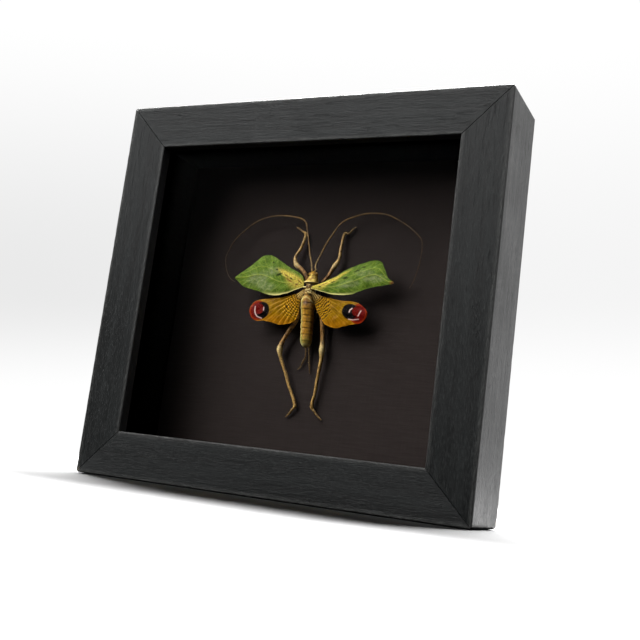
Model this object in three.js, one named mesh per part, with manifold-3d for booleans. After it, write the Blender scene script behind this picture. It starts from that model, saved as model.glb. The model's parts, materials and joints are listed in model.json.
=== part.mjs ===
// A katydid, spread and pinned, in a deep black wooden frame behind glass.
// Millimetres. +X is to the right, +Y runs from the glass to the back panel, +Z is up.
// The origin is the middle of the frame's underside.

import * as THREE from 'three';
import { mergeVertices } from 'three/addons/utils/BufferGeometryUtils.js';
import Module from 'manifold-3d';

const wasm = await Module();
wasm.setup();

// Frame
const FRAME_WIDTH = 200;
const FRAME_HEIGHT = 188;
const FRAME_DEPTH = 38;
const RAIL_FACE = 22; // width of the moulding, seen from the front
const LIP_REACH = 5; // how far the front lip covers the pane
const LIP_THICKNESS = 6;
const ARRIS = 0.5; // the moulding's eased edges
const MITRE_GAP = 0.3;

// What lies behind the lip, from front to back
const STACK_GAP = 0.2; // air between one layer and the next
const SIDE_FIT = 0.4; // air between a layer and the rebate's wall
const PANE_THICKNESS = 2;
const BOARD_SETBACK = 31.7; // from the frame's face to the mount board's
const BOARD_THICKNESS = 2.6;
const PANEL_THICKNESS = 2.2;
const TAB_THICKNESS = 0.5;
const TAB_WIDTH = 9;
const TAB_REACH = 10;

// Sawtooth hanger
const HANGER_LENGTH = 42;
const HANGER_HEIGHT = 7;
const HANGER_THICKNESS = 0.8;
const HANGER_TEETH = 12;
const TOOTH_DEPTH = 1.4;
const NAIL_SPACING = 36;
const NAIL_HEAD_RADIUS = 1.5;
const NAIL_HEAD_RIM = 0.35;
const NAIL_HEAD_HEIGHT = 0.45;
const NAIL_SHANK_RADIUS = 0.5;
const NAIL_HOLE_RADIUS = 0.8;

// The insect: its own middle is on the thorax, where the wings meet
const INSECT_X = 2;
const INSECT_UP = 100;
const INSECT_OFF_BOARD = 6.2; // from the thorax's middle to the board
const PIN_X = 1.5;
const PIN_UP = -2.1;
const PIN_RADIUS = 0.22;
const PIN_HOLE_RADIUS = 0.5;
const PIN_HEAD_RADIUS = 0.85;
const PIN_HEAD_RIM = 0.35;
const PIN_HEAD_HEIGHT = 0.8;
const PIN_HEAD_DEPTH = -3.15; // the back of its head, in front of the thorax
const PIN_POINT = 1.2;
const PIN_IN_BOARD = 2;
const WING_THICKNESS = 0.45;
const WING_EDGE = 0.22;

// Worked out from the above
const FACE_Y = -FRAME_DEPTH / 2;
const REAR_Y = FRAME_DEPTH / 2;
const LIP_BACK_Y = FACE_Y + LIP_THICKNESS;
const REBATE = RAIL_FACE - LIP_REACH;
const PANE_Y = LIP_BACK_Y + STACK_GAP;
const SPACER_Y = PANE_Y + PANE_THICKNESS + STACK_GAP;
const BOARD_Y = FACE_Y + BOARD_SETBACK;
const PANEL_Y = BOARD_Y + BOARD_THICKNESS + STACK_GAP;
const TAB_Y = PANEL_Y + PANEL_THICKNESS + STACK_GAP;
const HALF_WIDTH = FRAME_WIDTH / 2;
const INSECT_Y = BOARD_Y - INSECT_OFF_BOARD;

function paint(color, roughness, metalness = 0) {
  return new THREE.MeshStandardMaterial({ color, roughness, metalness });
}

const STAINED_WOOD = ['#2c2e2e', 0.55];
const BLACK_STRIP = ['#060606', 0.9];
const WING_GREEN = ['#6e963c', 0.6];
const WING_OCHRE = ['#a87412', 0.6];
const LIMB_BROWN = ['#8a6a35', 0.55];
const STEEL = ['#a9a9a4', 0.35, 0.9];

const model = new THREE.Group();
const insect = new THREE.Group();
insect.position.set(INSECT_X, INSECT_Y, INSECT_UP);
model.add(insect);

function add(group, name, geometry, finish) {
  const mesh = new THREE.Mesh(geometry, paint(...finish));
  mesh.name = name;
  group.add(mesh);
  return mesh;
}

// Shape helpers

function outline(points) {
  return new THREE.Shape(points.map(([x, y]) => new THREE.Vector2(x, y)));
}

function roundHole(x, y, radius) {
  const hole = new THREE.Path();
  hole.absarc(x, y, radius, 0, 2 * Math.PI, true);
  return hole;
}

function block(low, high) {
  const size = high.map((value, i) => value - low[i]);
  const geometry = new THREE.BoxGeometry(...size);
  return geometry.translate(...low.map((value, i) => value + size[i] / 2));
}

// A flat outline in X and Z, made into a plate that runs from y back by its thickness
function plate(shape, y, thickness) {
  const settings = { depth: thickness, bevelEnabled: false, curveSegments: 6 };
  const geometry = new THREE.ExtrudeGeometry(shape, settings);
  geometry.rotateX(Math.PI / 2);
  return geometry.translate(0, y + thickness, 0);
}

function signedVolume(points, faces) {
  let sum = 0;
  for (let i = 0; i < faces.length; i += 3) {
    const [a, b, c] = [points[faces[i]], points[faces[i + 1]], points[faces[i + 2]]];
    sum += a.dot(b.clone().cross(c));
  }
  return sum;
}

// A closed skin over a row of rings: each ring is joined to the next, and both ends are closed
function skin(rings) {
  const sides = rings[0].length;
  const points = rings.flat();
  const faces = [];
  for (let i = 0; i + 1 < rings.length; i += 1) {
    for (let j = 0; j < sides; j += 1) {
      const a = i * sides + j;
      const b = i * sides + ((j + 1) % sides);
      faces.push(a, b, b + sides, a, b + sides, a + sides);
    }
  }
  for (const end of [0, rings.length - 1]) {
    const middle = new THREE.Vector3();
    rings[end].forEach((p) => middle.addScaledVector(p, 1 / sides));
    points.push(middle);
    for (let j = 0; j < sides; j += 1) {
      const a = end * sides + j;
      const b = end * sides + ((j + 1) % sides);
      faces.push(points.length - 1, ...(end === 0 ? [b, a] : [a, b]));
    }
  }
  if (signedVolume(points, faces) < 0) {
    faces.reverse();
  }
  const geometry = new THREE.BufferGeometry().setFromPoints(points);
  geometry.setIndex(faces);
  return geometry;
}

// Joining and cutting of closed meshes
function toSolid(geometry) {
  const bare = geometry.clone();
  bare.deleteAttribute('normal');
  bare.deleteAttribute('uv');
  const merged = mergeVertices(bare, 1e-4);
  return new wasm.Manifold(new wasm.Mesh({
    numProp: 3,
    vertProperties: new Float32Array(merged.attributes.position.array),
    triVerts: new Uint32Array(merged.index.array),
  }));
}

function toGeometry(solid) {
  const mesh = solid.getMesh();
  const geometry = new THREE.BufferGeometry();
  geometry.setAttribute('position', new THREE.BufferAttribute(mesh.vertProperties, mesh.numProp));
  geometry.setIndex(new THREE.BufferAttribute(mesh.triVerts, 1));
  return geometry;
}

// Frame

function railSection() {
  return outline([
    [FACE_Y, ARRIS],
    [FACE_Y + ARRIS, 0],
    [REAR_Y - ARRIS, 0],
    [REAR_Y, ARRIS],
    [REAR_Y, REBATE],
    [LIP_BACK_Y, REBATE],
    [LIP_BACK_Y, RAIL_FACE],
    [FACE_Y + ARRIS, RAIL_FACE],
    [FACE_Y, RAIL_FACE - ARRIS],
  ]);
}

// One rail along X with its outer edge at z = 0: the nearer a point is to the frame's
// opening, the further the mitre draws it in from the rail's end
function railGeometry(length) {
  const geometry = new THREE.ExtrudeGeometry(railSection(), { depth: 1, bevelEnabled: false });
  const position = geometry.attributes.position;
  const shortening = MITRE_GAP / Math.SQRT2;
  for (let i = 0; i < position.count; i += 1) {
    const [depth, inward, end] = [position.getX(i), position.getY(i), position.getZ(i)];
    const reach = length / 2 - inward - shortening;
    position.setXYZ(i, (2 * end - 1) * reach, depth, inward);
  }
  return geometry;
}

function addRails() {
  const rails = [
    ['rail_bottom', FRAME_WIDTH, 0, 0, 0],
    ['rail_top', FRAME_WIDTH, Math.PI, 0, FRAME_HEIGHT],
    ['rail_left', FRAME_HEIGHT, Math.PI / 2, -HALF_WIDTH, FRAME_HEIGHT / 2],
    ['rail_right', FRAME_HEIGHT, -Math.PI / 2, HALF_WIDTH, FRAME_HEIGHT / 2],
  ];
  for (const [name, length, turn, x, z] of rails) {
    const rail = add(model, name, railGeometry(length), STAINED_WOOD);
    rail.rotation.y = turn;
    rail.position.set(x, 0, z);
  }
}

// A flat layer that fills the rebate
function layerOutline() {
  const x = HALF_WIDTH - REBATE - SIDE_FIT;
  const low = REBATE + SIDE_FIT;
  const high = FRAME_HEIGHT - low;
  return outline([[-x, low], [x, low], [x, high], [-x, high]]);
}

function addLayers() {
  add(model, 'glass', plate(layerOutline(), PANE_Y, PANE_THICKNESS), ['#e8f0ee', 0.05]);
  const board = layerOutline();
  board.holes.push(roundHole(INSECT_X + PIN_X, INSECT_UP + PIN_UP, PIN_HOLE_RADIUS));
  add(model, 'mount_board', plate(board, BOARD_Y, BOARD_THICKNESS), ['#2e2a29', 0.9]);
  const panel = plate(layerOutline(), PANEL_Y, PANEL_THICKNESS);
  add(model, 'back_panel', panel, ['#6b4a2c', 0.8]);
}

function addSpacers() {
  const [near, far] = [SPACER_Y, BOARD_Y - STACK_GAP];
  const outer = REBATE + SIDE_FIT;
  const side = HALF_WIDTH - outer;
  const inside = HALF_WIDTH - RAIL_FACE;
  const top = FRAME_HEIGHT - outer;
  const ceiling = FRAME_HEIGHT - RAIL_FACE;
  const spacers = {
    spacer_bottom: [[-side, near, outer], [side, far, RAIL_FACE]],
    spacer_top: [[-side, near, ceiling], [side, far, top]],
    spacer_left: [[-side, near, RAIL_FACE + STACK_GAP], [-inside, far, ceiling - STACK_GAP]],
    spacer_right: [[inside, near, RAIL_FACE + STACK_GAP], [side, far, ceiling - STACK_GAP]],
  };
  for (const [name, [low, high]] of Object.entries(spacers)) {
    add(model, name, block(low, high), BLACK_STRIP);
  }
}

// A flat steel point that lies on the back panel: square where it enters the rail, then tapering
function tabGeometry() {
  const half = TAB_WIDTH / 2;
  const shoulder = TAB_REACH * 0.4;
  const nose = half * 0.35;
  const shape = outline([
    [-half, 0], [half, 0], [half, shoulder], [nose, TAB_REACH], [-nose, TAB_REACH], [-half, shoulder],
  ]);
  return plate(shape, TAB_Y, TAB_THICKNESS);
}

function addTabs() {
  const start = REBATE + SIDE_FIT;
  const across = FRAME_WIDTH / 4;
  const along = FRAME_HEIGHT / 4;
  const middle = FRAME_HEIGHT / 2;
  [-1, 1].forEach((side, i) => {
    const places = {
      bottom: [0, side * across, start],
      top: [Math.PI, side * across, FRAME_HEIGHT - start],
      left: [Math.PI / 2, start - HALF_WIDTH, middle + side * along],
      right: [-Math.PI / 2, HALF_WIDTH - start, middle + side * along],
    };
    for (const [edge, [turn, x, z]] of Object.entries(places)) {
      const tab = add(model, `tab_${edge}_${i + 1}`, tabGeometry(), STEEL);
      tab.rotation.y = turn;
      tab.position.set(x, 0, z);
    }
  });
}

// A strip with teeth along its lower edge, nailed to the middle of the top rail's back
function hangerOutline() {
  const half = HANGER_LENGTH / 2;
  const toothed = half - HANGER_LENGTH / 6;
  const pitch = (2 * toothed) / HANGER_TEETH;
  const points = [[half, 0], [half, HANGER_HEIGHT], [-half, HANGER_HEIGHT], [-half, 0], [-toothed, 0]];
  for (let i = 0; i < HANGER_TEETH; i += 1) {
    const left = -toothed + i * pitch;
    points.push([left + pitch / 2, TOOTH_DEPTH], [left + pitch, 0]);
  }
  const shape = outline(points);
  for (const side of [-1, 1]) {
    shape.holes.push(roundHole((side * NAIL_SPACING) / 2, HANGER_HEIGHT / 2, NAIL_HOLE_RADIUS));
  }
  return shape;
}

function nailGeometry() {
  const shankStart = REAR_Y + STACK_GAP / 2;
  const headStart = REAR_Y + STACK_GAP + HANGER_THICKNESS + STACK_GAP / 2;
  const profile = [
    [0, shankStart],
    [NAIL_SHANK_RADIUS, shankStart],
    [NAIL_SHANK_RADIUS, headStart],
    [NAIL_HEAD_RADIUS, headStart],
    [NAIL_HEAD_RADIUS * 0.8, headStart + NAIL_HEAD_RIM],
    [0, headStart + NAIL_HEAD_HEIGHT],
  ];
  return new THREE.LatheGeometry(profile.map(([r, y]) => new THREE.Vector2(r, y)), 16);
}

function addHanger() {
  const low = FRAME_HEIGHT - REBATE / 2 - HANGER_HEIGHT / 2;
  const strip = plate(hangerOutline(), REAR_Y + STACK_GAP, HANGER_THICKNESS);
  add(model, 'hanger', strip, STEEL).position.z = low;
  for (const [name, side] of [['nail_left', -1], ['nail_right', 1]]) {
    const nail = add(model, name, nailGeometry(), STEEL);
    nail.position.set((side * NAIL_SPACING) / 2, 0, low + HANGER_HEIGHT / 2);
  }
}

// The insect's body. Heights run from the head, above, to the tip of the abdomen, below

const HEAD_TOP = 9.6;
const HEAD_MIDDLE = 7.6;
const HEAD_RADIUS = 2.0;
const NECK = 0.2; // the step in height where one part of the body slips under the next
const SHIELD_FRONT = 6.7;
const SHIELD_REAR = 3.4;
const SHIELD_FRONT_RADIUS = 2.3;
const SHIELD_REAR_RADIUS = 3.8;
const SHIELD_WAIST = 0.22;
const THORAX_RADIUS = 2.6;
const ABDOMEN_FRONT = -3.4;
const ABDOMEN_TIP = -27.8;
const ABDOMEN_SEGMENTS = 8;
const RINGS_PER_SEGMENT = 4;
const SEGMENT_RIDGE = 0.05;
const BODY_SIDES = 18;
const EYE_RADIUS = 0.8;
const EYE_SPREAD = 0.86; // share of the head's radius, out to each eye's middle
const EYE_FORWARD = 0.7;
const EYE_UP = 0.5;

// The middle line of the body as x, depth and height: the thorax stands highest off the board
const SPINE = [
  [0.4, 1.0, HEAD_TOP],
  [0.45, 0.5, 5],
  [0.1, 0, 1.5],
  [-0.5, 0, -5],
  [0.1, 0.8, -14.8],
  [0.7, 1.4, ABDOMEN_TIP],
];

function spineAt(up) {
  let i = 0;
  while (i < SPINE.length - 2 && SPINE[i + 1][2] > up) {
    i += 1;
  }
  const [above, below] = [SPINE[i], SPINE[i + 1]];
  const share = (above[2] - up) / (above[2] - below[2]);
  return [0, 1].map((k) => THREE.MathUtils.lerp(above[k], below[k], share));
}

function headStations() {
  const tall = HEAD_TOP - HEAD_MIDDLE;
  const angles = [0.04, 0.14, 0.26, 0.38, 0.5].map((turn) => turn * Math.PI);
  const dome = angles.map((a) => [HEAD_MIDDLE + tall * Math.cos(a), HEAD_RADIUS * Math.sin(a)]);
  return [...dome, [SHIELD_FRONT + NECK, HEAD_RADIUS * 0.96]];
}

function shieldStations() {
  const steps = 5;
  const stations = [];
  for (let i = 0; i <= steps; i += 1) {
    const share = i / steps;
    const up = THREE.MathUtils.lerp(SHIELD_FRONT, SHIELD_REAR, share);
    const flare = THREE.MathUtils.lerp(SHIELD_FRONT_RADIUS, SHIELD_REAR_RADIUS, share ** 1.3);
    stations.push([up, flare - SHIELD_WAIST * Math.sin(Math.PI * share)]);
  }
  return stations;
}

function thoraxStations() {
  return [
    [SHIELD_REAR - NECK, THORAX_RADIUS],
    [2, THORAX_RADIUS],
    [0.9, THORAX_RADIUS * 1.04],
    [0.6, THORAX_RADIUS * 0.94],
    [-0.8, THORAX_RADIUS * 1.05],
    [-2.2, THORAX_RADIUS * 1.08],
    [-2.6, THORAX_RADIUS * 1.0],
  ];
}

// Nearly even at first, then narrowing to a round end
function abdomenRadius(share) {
  const swell = 3.15 + 0.3 * Math.sin(Math.PI * Math.min(1, share * 2.6)) ** 2;
  const narrowing = 1 - 0.16 * share ** 2;
  const roundEnd = Math.sqrt(1 - Math.max(0, (share - 0.86) / 0.14) ** 2);
  return swell * narrowing * roundEnd;
}

function abdomenStations() {
  const rings = ABDOMEN_SEGMENTS * RINGS_PER_SEGMENT;
  const stations = [];
  for (let i = 0; i < rings; i += 1) {
    const share = i / rings;
    const within = (i % RINGS_PER_SEGMENT) / (RINGS_PER_SEGMENT - 1);
    const ridge = 1 + SEGMENT_RIDGE * (within - 0.5);
    const up = THREE.MathUtils.lerp(ABDOMEN_FRONT, ABDOMEN_TIP, share);
    stations.push([up, abdomenRadius(share) * ridge]);
  }
  stations.push([ABDOMEN_TIP, 0.5]);
  return stations;
}

function bodyRing(up, radius) {
  const [x, depth] = spineAt(up);
  const ring = [];
  for (let i = 0; i < BODY_SIDES; i += 1) {
    const turn = (2 * Math.PI * i) / BODY_SIDES;
    ring.push(new THREE.Vector3(x + radius * Math.cos(turn), depth + radius * Math.sin(turn), up));
  }
  return ring;
}

function addBody() {
  const stations = [...headStations(), ...shieldStations(), ...thoraxStations(), ...abdomenStations()];
  let solid = toSolid(skin(stations.map(([up, radius]) => bodyRing(up, radius))));
  const [headX, headDepth] = spineAt(HEAD_MIDDLE);
  for (const side of [-1, 1]) {
    const eye = new THREE.SphereGeometry(EYE_RADIUS, 10, 8);
    const out = side * HEAD_RADIUS * EYE_SPREAD;
    eye.translate(headX + out, headDepth - EYE_FORWARD, HEAD_MIDDLE + EYE_UP);
    solid = solid.add(toSolid(eye));
  }
  const through = 4 * THORAX_RADIUS;
  const hole = new THREE.CylinderGeometry(PIN_HOLE_RADIUS, PIN_HOLE_RADIUS, through, 12);
  hole.translate(PIN_X, 0, PIN_UP);
  add(insect, 'body', toGeometry(solid.subtract(toSolid(hole))), ['#9a8440', 0.6]);
}

function addPin() {
  const tip = INSECT_OFF_BOARD + PIN_IN_BOARD;
  const profile = [
    [0, PIN_HEAD_DEPTH - PIN_HEAD_HEIGHT],
    [PIN_HEAD_RADIUS * 0.6, PIN_HEAD_DEPTH - PIN_HEAD_HEIGHT * 0.88],
    [PIN_HEAD_RADIUS, PIN_HEAD_DEPTH - PIN_HEAD_RIM],
    [PIN_HEAD_RADIUS, PIN_HEAD_DEPTH],
    [PIN_RADIUS, PIN_HEAD_DEPTH],
    [PIN_RADIUS, tip - PIN_POINT],
    [0, tip],
  ];
  const geometry = new THREE.LatheGeometry(profile.map(([r, y]) => new THREE.Vector2(r, y)), 14);
  add(insect, 'pin', geometry.translate(PIN_X, 0, PIN_UP), ['#c9a552', 0.3, 0.9]);
}

// Wings. Each is a thin cambered sheet between an upper and a lower edge, given as x and height
// from the body out to the tip

const FOREWING_LEFT = {
  upper: [
    [-3.3, 2.4], [-3.9, 5.2], [-5.6, 7.5], [-10.2, 9.9], [-15.7, 12.9], [-21.2, 15.9], [-23.7, 16.5],
    [-27.9, 15.6], [-31.4, 12.8], [-34.5, 10.1], [-37.6, 8.0], [-41.6, 5.2],
  ],
  lower: [
    [-3.1, 1.4], [-7.6, -0.6], [-12.1, -2.4], [-17.5, -3.5], [-22.6, -3.0], [-28.4, -1.5], [-33.8, -0.3],
    [-36.4, 0.5], [-39.0, 2.3], [-41.8, 4.4],
  ],
  rootDepth: -1.8,
  tipDepth: -2.0,
  camber: 0.9,
};

const FOREWING_RIGHT = {
  upper: [
    [2.9, 1.2], [5.9, 2.6], [10.3, 4.9], [14.1, 6.9], [18.4, 9.7], [23.9, 12.3], [29.9, 14.3], [33.2, 14.9],
    [36.1, 14.1], [37.5, 11.8], [39.0, 9.1], [40.4, 6.5], [43.2, 4.9],
  ],
  lower: [
    [2.8, 0.4], [7.0, -0.7], [11.8, -1.9], [16.5, -2.2], [21.7, -1.8], [26.1, -0.3], [30.4, 1.3],
    [34.8, 2.5], [39.7, 3.4], [43.1, 4.1],
  ],
  rootDepth: -2.4,
  tipDepth: -1.8,
  camber: 0.7,
};

const HINDWING_LEFT = {
  upper: [
    [-3.5, -0.9], [-9.1, -2.8], [-15.0, -4.2], [-21.2, -5.0], [-26.7, -5.7], [-29.7, -6.9], [-31.5, -9.2],
    [-31.8, -11.2],
  ],
  lower: [
    [-3.9, -2.4], [-4.6, -6.5], [-4.9, -12.6], [-6.0, -15.1], [-9.4, -16.9], [-14.2, -17.5], [-19.4, -16.5],
    [-23.2, -16.0], [-27.6, -16.1], [-30.0, -14.8], [-31.6, -12.4],
  ],
  rootDepth: -0.4,
  tipDepth: -0.6,
  camber: 0.6,
};

const HINDWING_RIGHT = {
  upper: [
    [3.2, -1.6], [6.6, -2.8], [11.4, -3.7], [17.4, -4.6], [23.2, -4.9], [26.8, -5.8], [29.9, -7.9],
    [31.3, -9.6],
  ],
  lower: [
    [3.3, -3.0], [3.6, -6.2], [5.4, -9.9], [7.5, -13.1], [9.6, -15.7], [12.1, -17.2], [15.7, -17.8],
    [19.1, -17.1], [23.5, -15.9], [28.5, -14.8], [30.8, -12.6], [31.4, -10.8],
  ],
  rootDepth: -0.4,
  tipDepth: -0.6,
  camber: 0.6,
};

const WING_STATIONS = 24;
const WING_CELLS = 5;

function edgeCurve(points) {
  return new THREE.CatmullRomCurve3(points.map(([x, z]) => new THREE.Vector3(x, 0, z)), false, 'centripetal');
}

function wingRing(upper, lower, depth, camber) {
  const face = (side) => {
    const row = [];
    for (let j = 0; j <= WING_CELLS; j += 1) {
      const across = j / WING_CELLS;
      const bulge = 1 - (2 * across - 1) ** 2;
      const point = upper.clone().lerp(lower, across);
      const half = THREE.MathUtils.lerp(WING_EDGE, WING_THICKNESS, bulge) / 2;
      point.y = depth - camber * bulge + side * half;
      row.push(point);
    }
    return row;
  };
  return [...face(-1), ...face(1).reverse()];
}

function addWing(name, wing, finish) {
  const [upper, lower] = [edgeCurve(wing.upper), edgeCurve(wing.lower)];
  const rings = [];
  for (let i = 0; i <= WING_STATIONS; i += 1) {
    const along = i / WING_STATIONS;
    const depth = THREE.MathUtils.lerp(wing.rootDepth, wing.tipDepth, along);
    const camber = wing.camber * Math.sin(Math.PI * along) ** 0.7;
    rings.push(wingRing(upper.getPointAt(along), lower.getPointAt(along), depth, camber));
  }
  add(insect, name, skin(rings), finish);
}

// Legs and antennae. Each is a row of x, depth, height and radius from the body outwards

const LIMBS = {
  foreleg_left: [
    [-3.3, 1.9, 5.4, 0.7], [-4.4, 2.0, 7.8, 0.85], [-8.0, 2.4, 11.4, 0.8], [-10.7, 2.7, 13.0, 1.0],
    [-12.1, 3.0, 16.1, 0.75], [-12.0, 3.3, 18.0, 0.65], [-10.4, 3.8, 21.3, 0.65], [-9.3, 4.1, 24.8, 0.62],
    [-8.9, 4.5, 29.3, 0.68], [-11.2, 4.8, 31.0, 0.45], [-13.2, 5.1, 32.3, 0.4], [-14.7, 5.3, 32.9, 0.25],
  ],
  foreleg_right: [
    [4.6, 2.1, 4.6, 0.7], [7.6, 2.3, 7.9, 0.85], [8.7, 2.6, 10.7, 0.8], [10.1, 3.0, 13.2, 1.0],
    [11.6, 3.4, 16.8, 0.75], [11.6, 3.8, 21.5, 0.65], [11.7, 4.2, 25.2, 0.62], [12.4, 4.6, 29.6, 0.68],
    [14.4, 4.8, 29.8, 0.45], [15.8, 5.1, 31.6, 0.4], [17.4, 5.3, 33.1, 0.25],
  ],
  midleg_left: [
    [-2.7, 3.4, 0, 0.6], [-3.3, 4.6, -3, 0.6], [-2.6, 5.0, -9, 0.55], [-1.6, 5.0, -17, 0.5],
    [-0.9, 5.0, -24, 0.42], [-0.8, 5.1, -28.6, 0.38], [-0.6, 5.2, -31.5, 0.34], [-1.9, 5.3, -34.6, 0.3],
    [-2.8, 5.4, -37.0, 0.3], [-4.1, 5.4, -38.1, 0.2],
  ],
  midleg_right: [
    [2.9, 3.4, 0, 0.6], [3.5, 4.6, -3, 0.6], [2.9, 5.0, -8, 0.55], [2.2, 5.0, -11.5, 0.6],
    [1.2, 5.0, -17, 0.48], [0.9, 5.0, -24, 0.42], [1.1, 5.1, -29.5, 0.36], [2.1, 5.3, -36.2, 0.3],
    [2.6, 5.4, -39.6, 0.2],
  ],
  hindleg_left: [
    [-4.9, 2.7, -4.6, 1.05], [-6.8, 2.5, -14.6, 1.0], [-9.9, 2.6, -19.7, 0.88], [-12.1, 2.8, -23.7, 0.88],
    [-13.4, 3.0, -26.7, 1.05], [-14.0, 3.2, -29.2, 1.15], [-13.1, 3.4, -33.0, 0.74], [-11.0, 3.7, -37.4, 0.66],
    [-9.1, 4.0, -41.3, 0.66], [-7.2, 4.2, -46.0, 0.64], [-5.1, 4.5, -49.9, 0.62], [-2.7, 4.8, -55.9, 0.7],
    [-4.1, 5.0, -57.7, 0.5], [-5.5, 5.2, -59.8, 0.45], [-7.2, 5.4, -61.3, 0.25],
  ],
  hindleg_right: [
    [4.6, 2.7, -4.6, 1.05], [7.5, 2.5, -15.9, 1.0], [8.1, 2.6, -20.2, 0.88], [8.7, 2.8, -24.3, 0.95],
    [8.8, 3.0, -28.3, 1.15], [8.8, 3.4, -32.1, 0.78], [8.2, 3.7, -38.1, 0.68], [7.7, 4.0, -43.3, 0.66],
    [7.3, 4.3, -48.9, 0.64], [6.4, 4.8, -55.6, 0.7], [7.9, 5.0, -57.4, 0.5], [9.8, 5.2, -59.4, 0.45],
    [11.8, 5.4, -61.1, 0.25],
  ],
  antenna_left: [
    [-0.8, 0.4, 10.0, 0.42], [-1.5, 0.4, 13.6, 0.34], [-3.1, 0.5, 18.2, 0.33], [-4.4, 0.6, 23.3, 0.32],
    [-6.2, 0.7, 29.8, 0.31], [-7.8, 0.8, 34.3, 0.3], [-10.1, 0.9, 36.0, 0.3], [-17.8, 1.1, 37.6, 0.28],
    [-24.6, 1.2, 37.8, 0.27], [-31.5, 1.3, 36.6, 0.25], [-37.4, 1.4, 33.9, 0.23], [-43.0, 1.5, 29.5, 0.21],
    [-47.4, 1.6, 25.1, 0.2], [-49.8, 1.7, 20.6, 0.18], [-51.4, 1.8, 15.8, 0.17], [-49.9, 1.9, 9.4, 0.16],
    [-47.0, 2.0, 5.1, 0.15], [-44.4, 2.0, 3.6, 0.13],
  ],
  antenna_right: [
    [1.5, 0.4, 10.1, 0.42], [0.8, 0.5, 12.4, 0.36], [1.9, 0.7, 16.0, 0.34], [3.6, 0.9, 20.4, 0.33],
    [5.6, 1.1, 25.1, 0.32], [8.0, 1.3, 29.3, 0.31], [10.6, 1.5, 33.4, 0.31], [13.7, 1.7, 35.8, 0.3],
    [18.8, 1.9, 37.7, 0.29], [23.1, 2.1, 38.9, 0.28], [28.6, 2.3, 39.1, 0.27], [34.2, 2.5, 38.5, 0.26],
    [39.9, 2.7, 36.1, 0.24], [45.6, 2.9, 32.8, 0.22], [50.5, 3.1, 28.8, 0.2], [52.7, 3.3, 26.0, 0.19],
    [53.1, 3.5, 19.4, 0.17], [52.2, 3.7, 12.9, 0.16], [50.6, 3.9, 7.0, 0.14], [49.0, 4.0, 3.4, 0.12],
  ],
};

function limbGeometry(points, sides) {
  const path = points.map(([x, y, z]) => new THREE.Vector3(x, y, z));
  const curve = new THREE.CatmullRomCurve3(path, false, 'centripetal');
  const spans = points.length - 1;
  const steps = 2 * spans;
  const back = new THREE.Vector3(0, 1, 0);
  const rings = [];
  for (let i = 0; i <= steps; i += 1) {
    const at = (i / steps) * spans;
    const from = Math.min(Math.floor(at), spans - 1);
    const radius = THREE.MathUtils.lerp(points[from][3], points[from + 1][3], at - from);
    const middle = curve.getPoint(i / steps);
    const across = curve.getTangent(i / steps).cross(back).normalize();
    const ring = [];
    for (let j = 0; j < sides; j += 1) {
      const turn = (2 * Math.PI * j) / sides;
      const point = middle.clone().addScaledVector(across, radius * Math.cos(turn));
      ring.push(point.addScaledVector(back, radius * Math.sin(turn)));
    }
    rings.push(ring);
  }
  return skin(rings);
}

function addLimbs() {
  for (const [name, points] of Object.entries(LIMBS)) {
    const sides = name.startsWith('antenna') ? 6 : 8;
    add(insect, name, limbGeometry(points, sides), LIMB_BROWN);
  }
}

addRails();
addLayers();
addSpacers();
addTabs();
addHanger();
addBody();
addPin();
addWing('forewing_left', FOREWING_LEFT, WING_GREEN);
addWing('forewing_right', FOREWING_RIGHT, WING_GREEN);
addWing('hindwing_left', HINDWING_LEFT, WING_OCHRE);
addWing('hindwing_right', HINDWING_RIGHT, WING_OCHRE);
addLimbs();

export default model;
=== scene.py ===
# %% [markdown]
# A pinned katydid in a deep black frame
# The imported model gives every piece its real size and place, as plain faceted solids. Here each piece
# gets the shape and finish that the eye sees: wood grain, weave, veins, dry cuticle. Some pieces only
# need a finish, and others are replaced by a finer mesh over the same form. Lengths are written in
# millimetres and multiplied by MM, because Blender works in metres.

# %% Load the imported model
import json
import math

import bmesh
import bpy
import numpy as np
from mathutils import Matrix, Vector, noise

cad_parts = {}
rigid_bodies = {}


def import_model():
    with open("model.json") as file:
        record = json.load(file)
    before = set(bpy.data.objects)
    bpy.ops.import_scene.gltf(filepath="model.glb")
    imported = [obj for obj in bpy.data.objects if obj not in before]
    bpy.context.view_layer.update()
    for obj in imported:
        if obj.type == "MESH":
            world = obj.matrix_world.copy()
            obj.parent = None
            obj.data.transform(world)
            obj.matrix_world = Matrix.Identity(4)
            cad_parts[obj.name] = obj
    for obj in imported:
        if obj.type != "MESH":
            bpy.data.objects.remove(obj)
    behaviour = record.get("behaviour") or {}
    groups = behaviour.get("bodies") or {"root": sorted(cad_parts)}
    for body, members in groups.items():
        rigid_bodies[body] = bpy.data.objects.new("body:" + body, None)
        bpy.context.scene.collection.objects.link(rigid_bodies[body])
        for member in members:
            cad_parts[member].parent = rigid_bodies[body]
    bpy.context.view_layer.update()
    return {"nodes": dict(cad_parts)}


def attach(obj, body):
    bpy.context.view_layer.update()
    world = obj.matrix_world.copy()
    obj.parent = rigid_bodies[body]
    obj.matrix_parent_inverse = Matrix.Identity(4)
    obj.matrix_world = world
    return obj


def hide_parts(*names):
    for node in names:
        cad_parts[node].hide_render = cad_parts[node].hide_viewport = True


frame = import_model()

MM = 0.001
scene = bpy.context.scene

# %% [markdown]
# The camera
# The photograph looks up at the frame from its right, from close to the table. A camera could be nudged
# by eye until the picture fits, but the frame has twelve straight edges, and the camera's place and three
# angles can be worked out from those. So they stand here as numbers. Blender wants a lens in millimetres:
# the focal length in pixels is scaled by the sensor's width over the picture's width.

# %% Camera
PHOTO_PIXELS = 640
FOCAL_PIXELS = 940.4
SENSOR_WIDTH = 36
CAMERA_PLACE = Vector((206.0, -389.1, 15.1)) * MM
HEADING, PITCH, ROLL = (math.radians(angle) for angle in (26.452, 9.085, 7.357))

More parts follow.
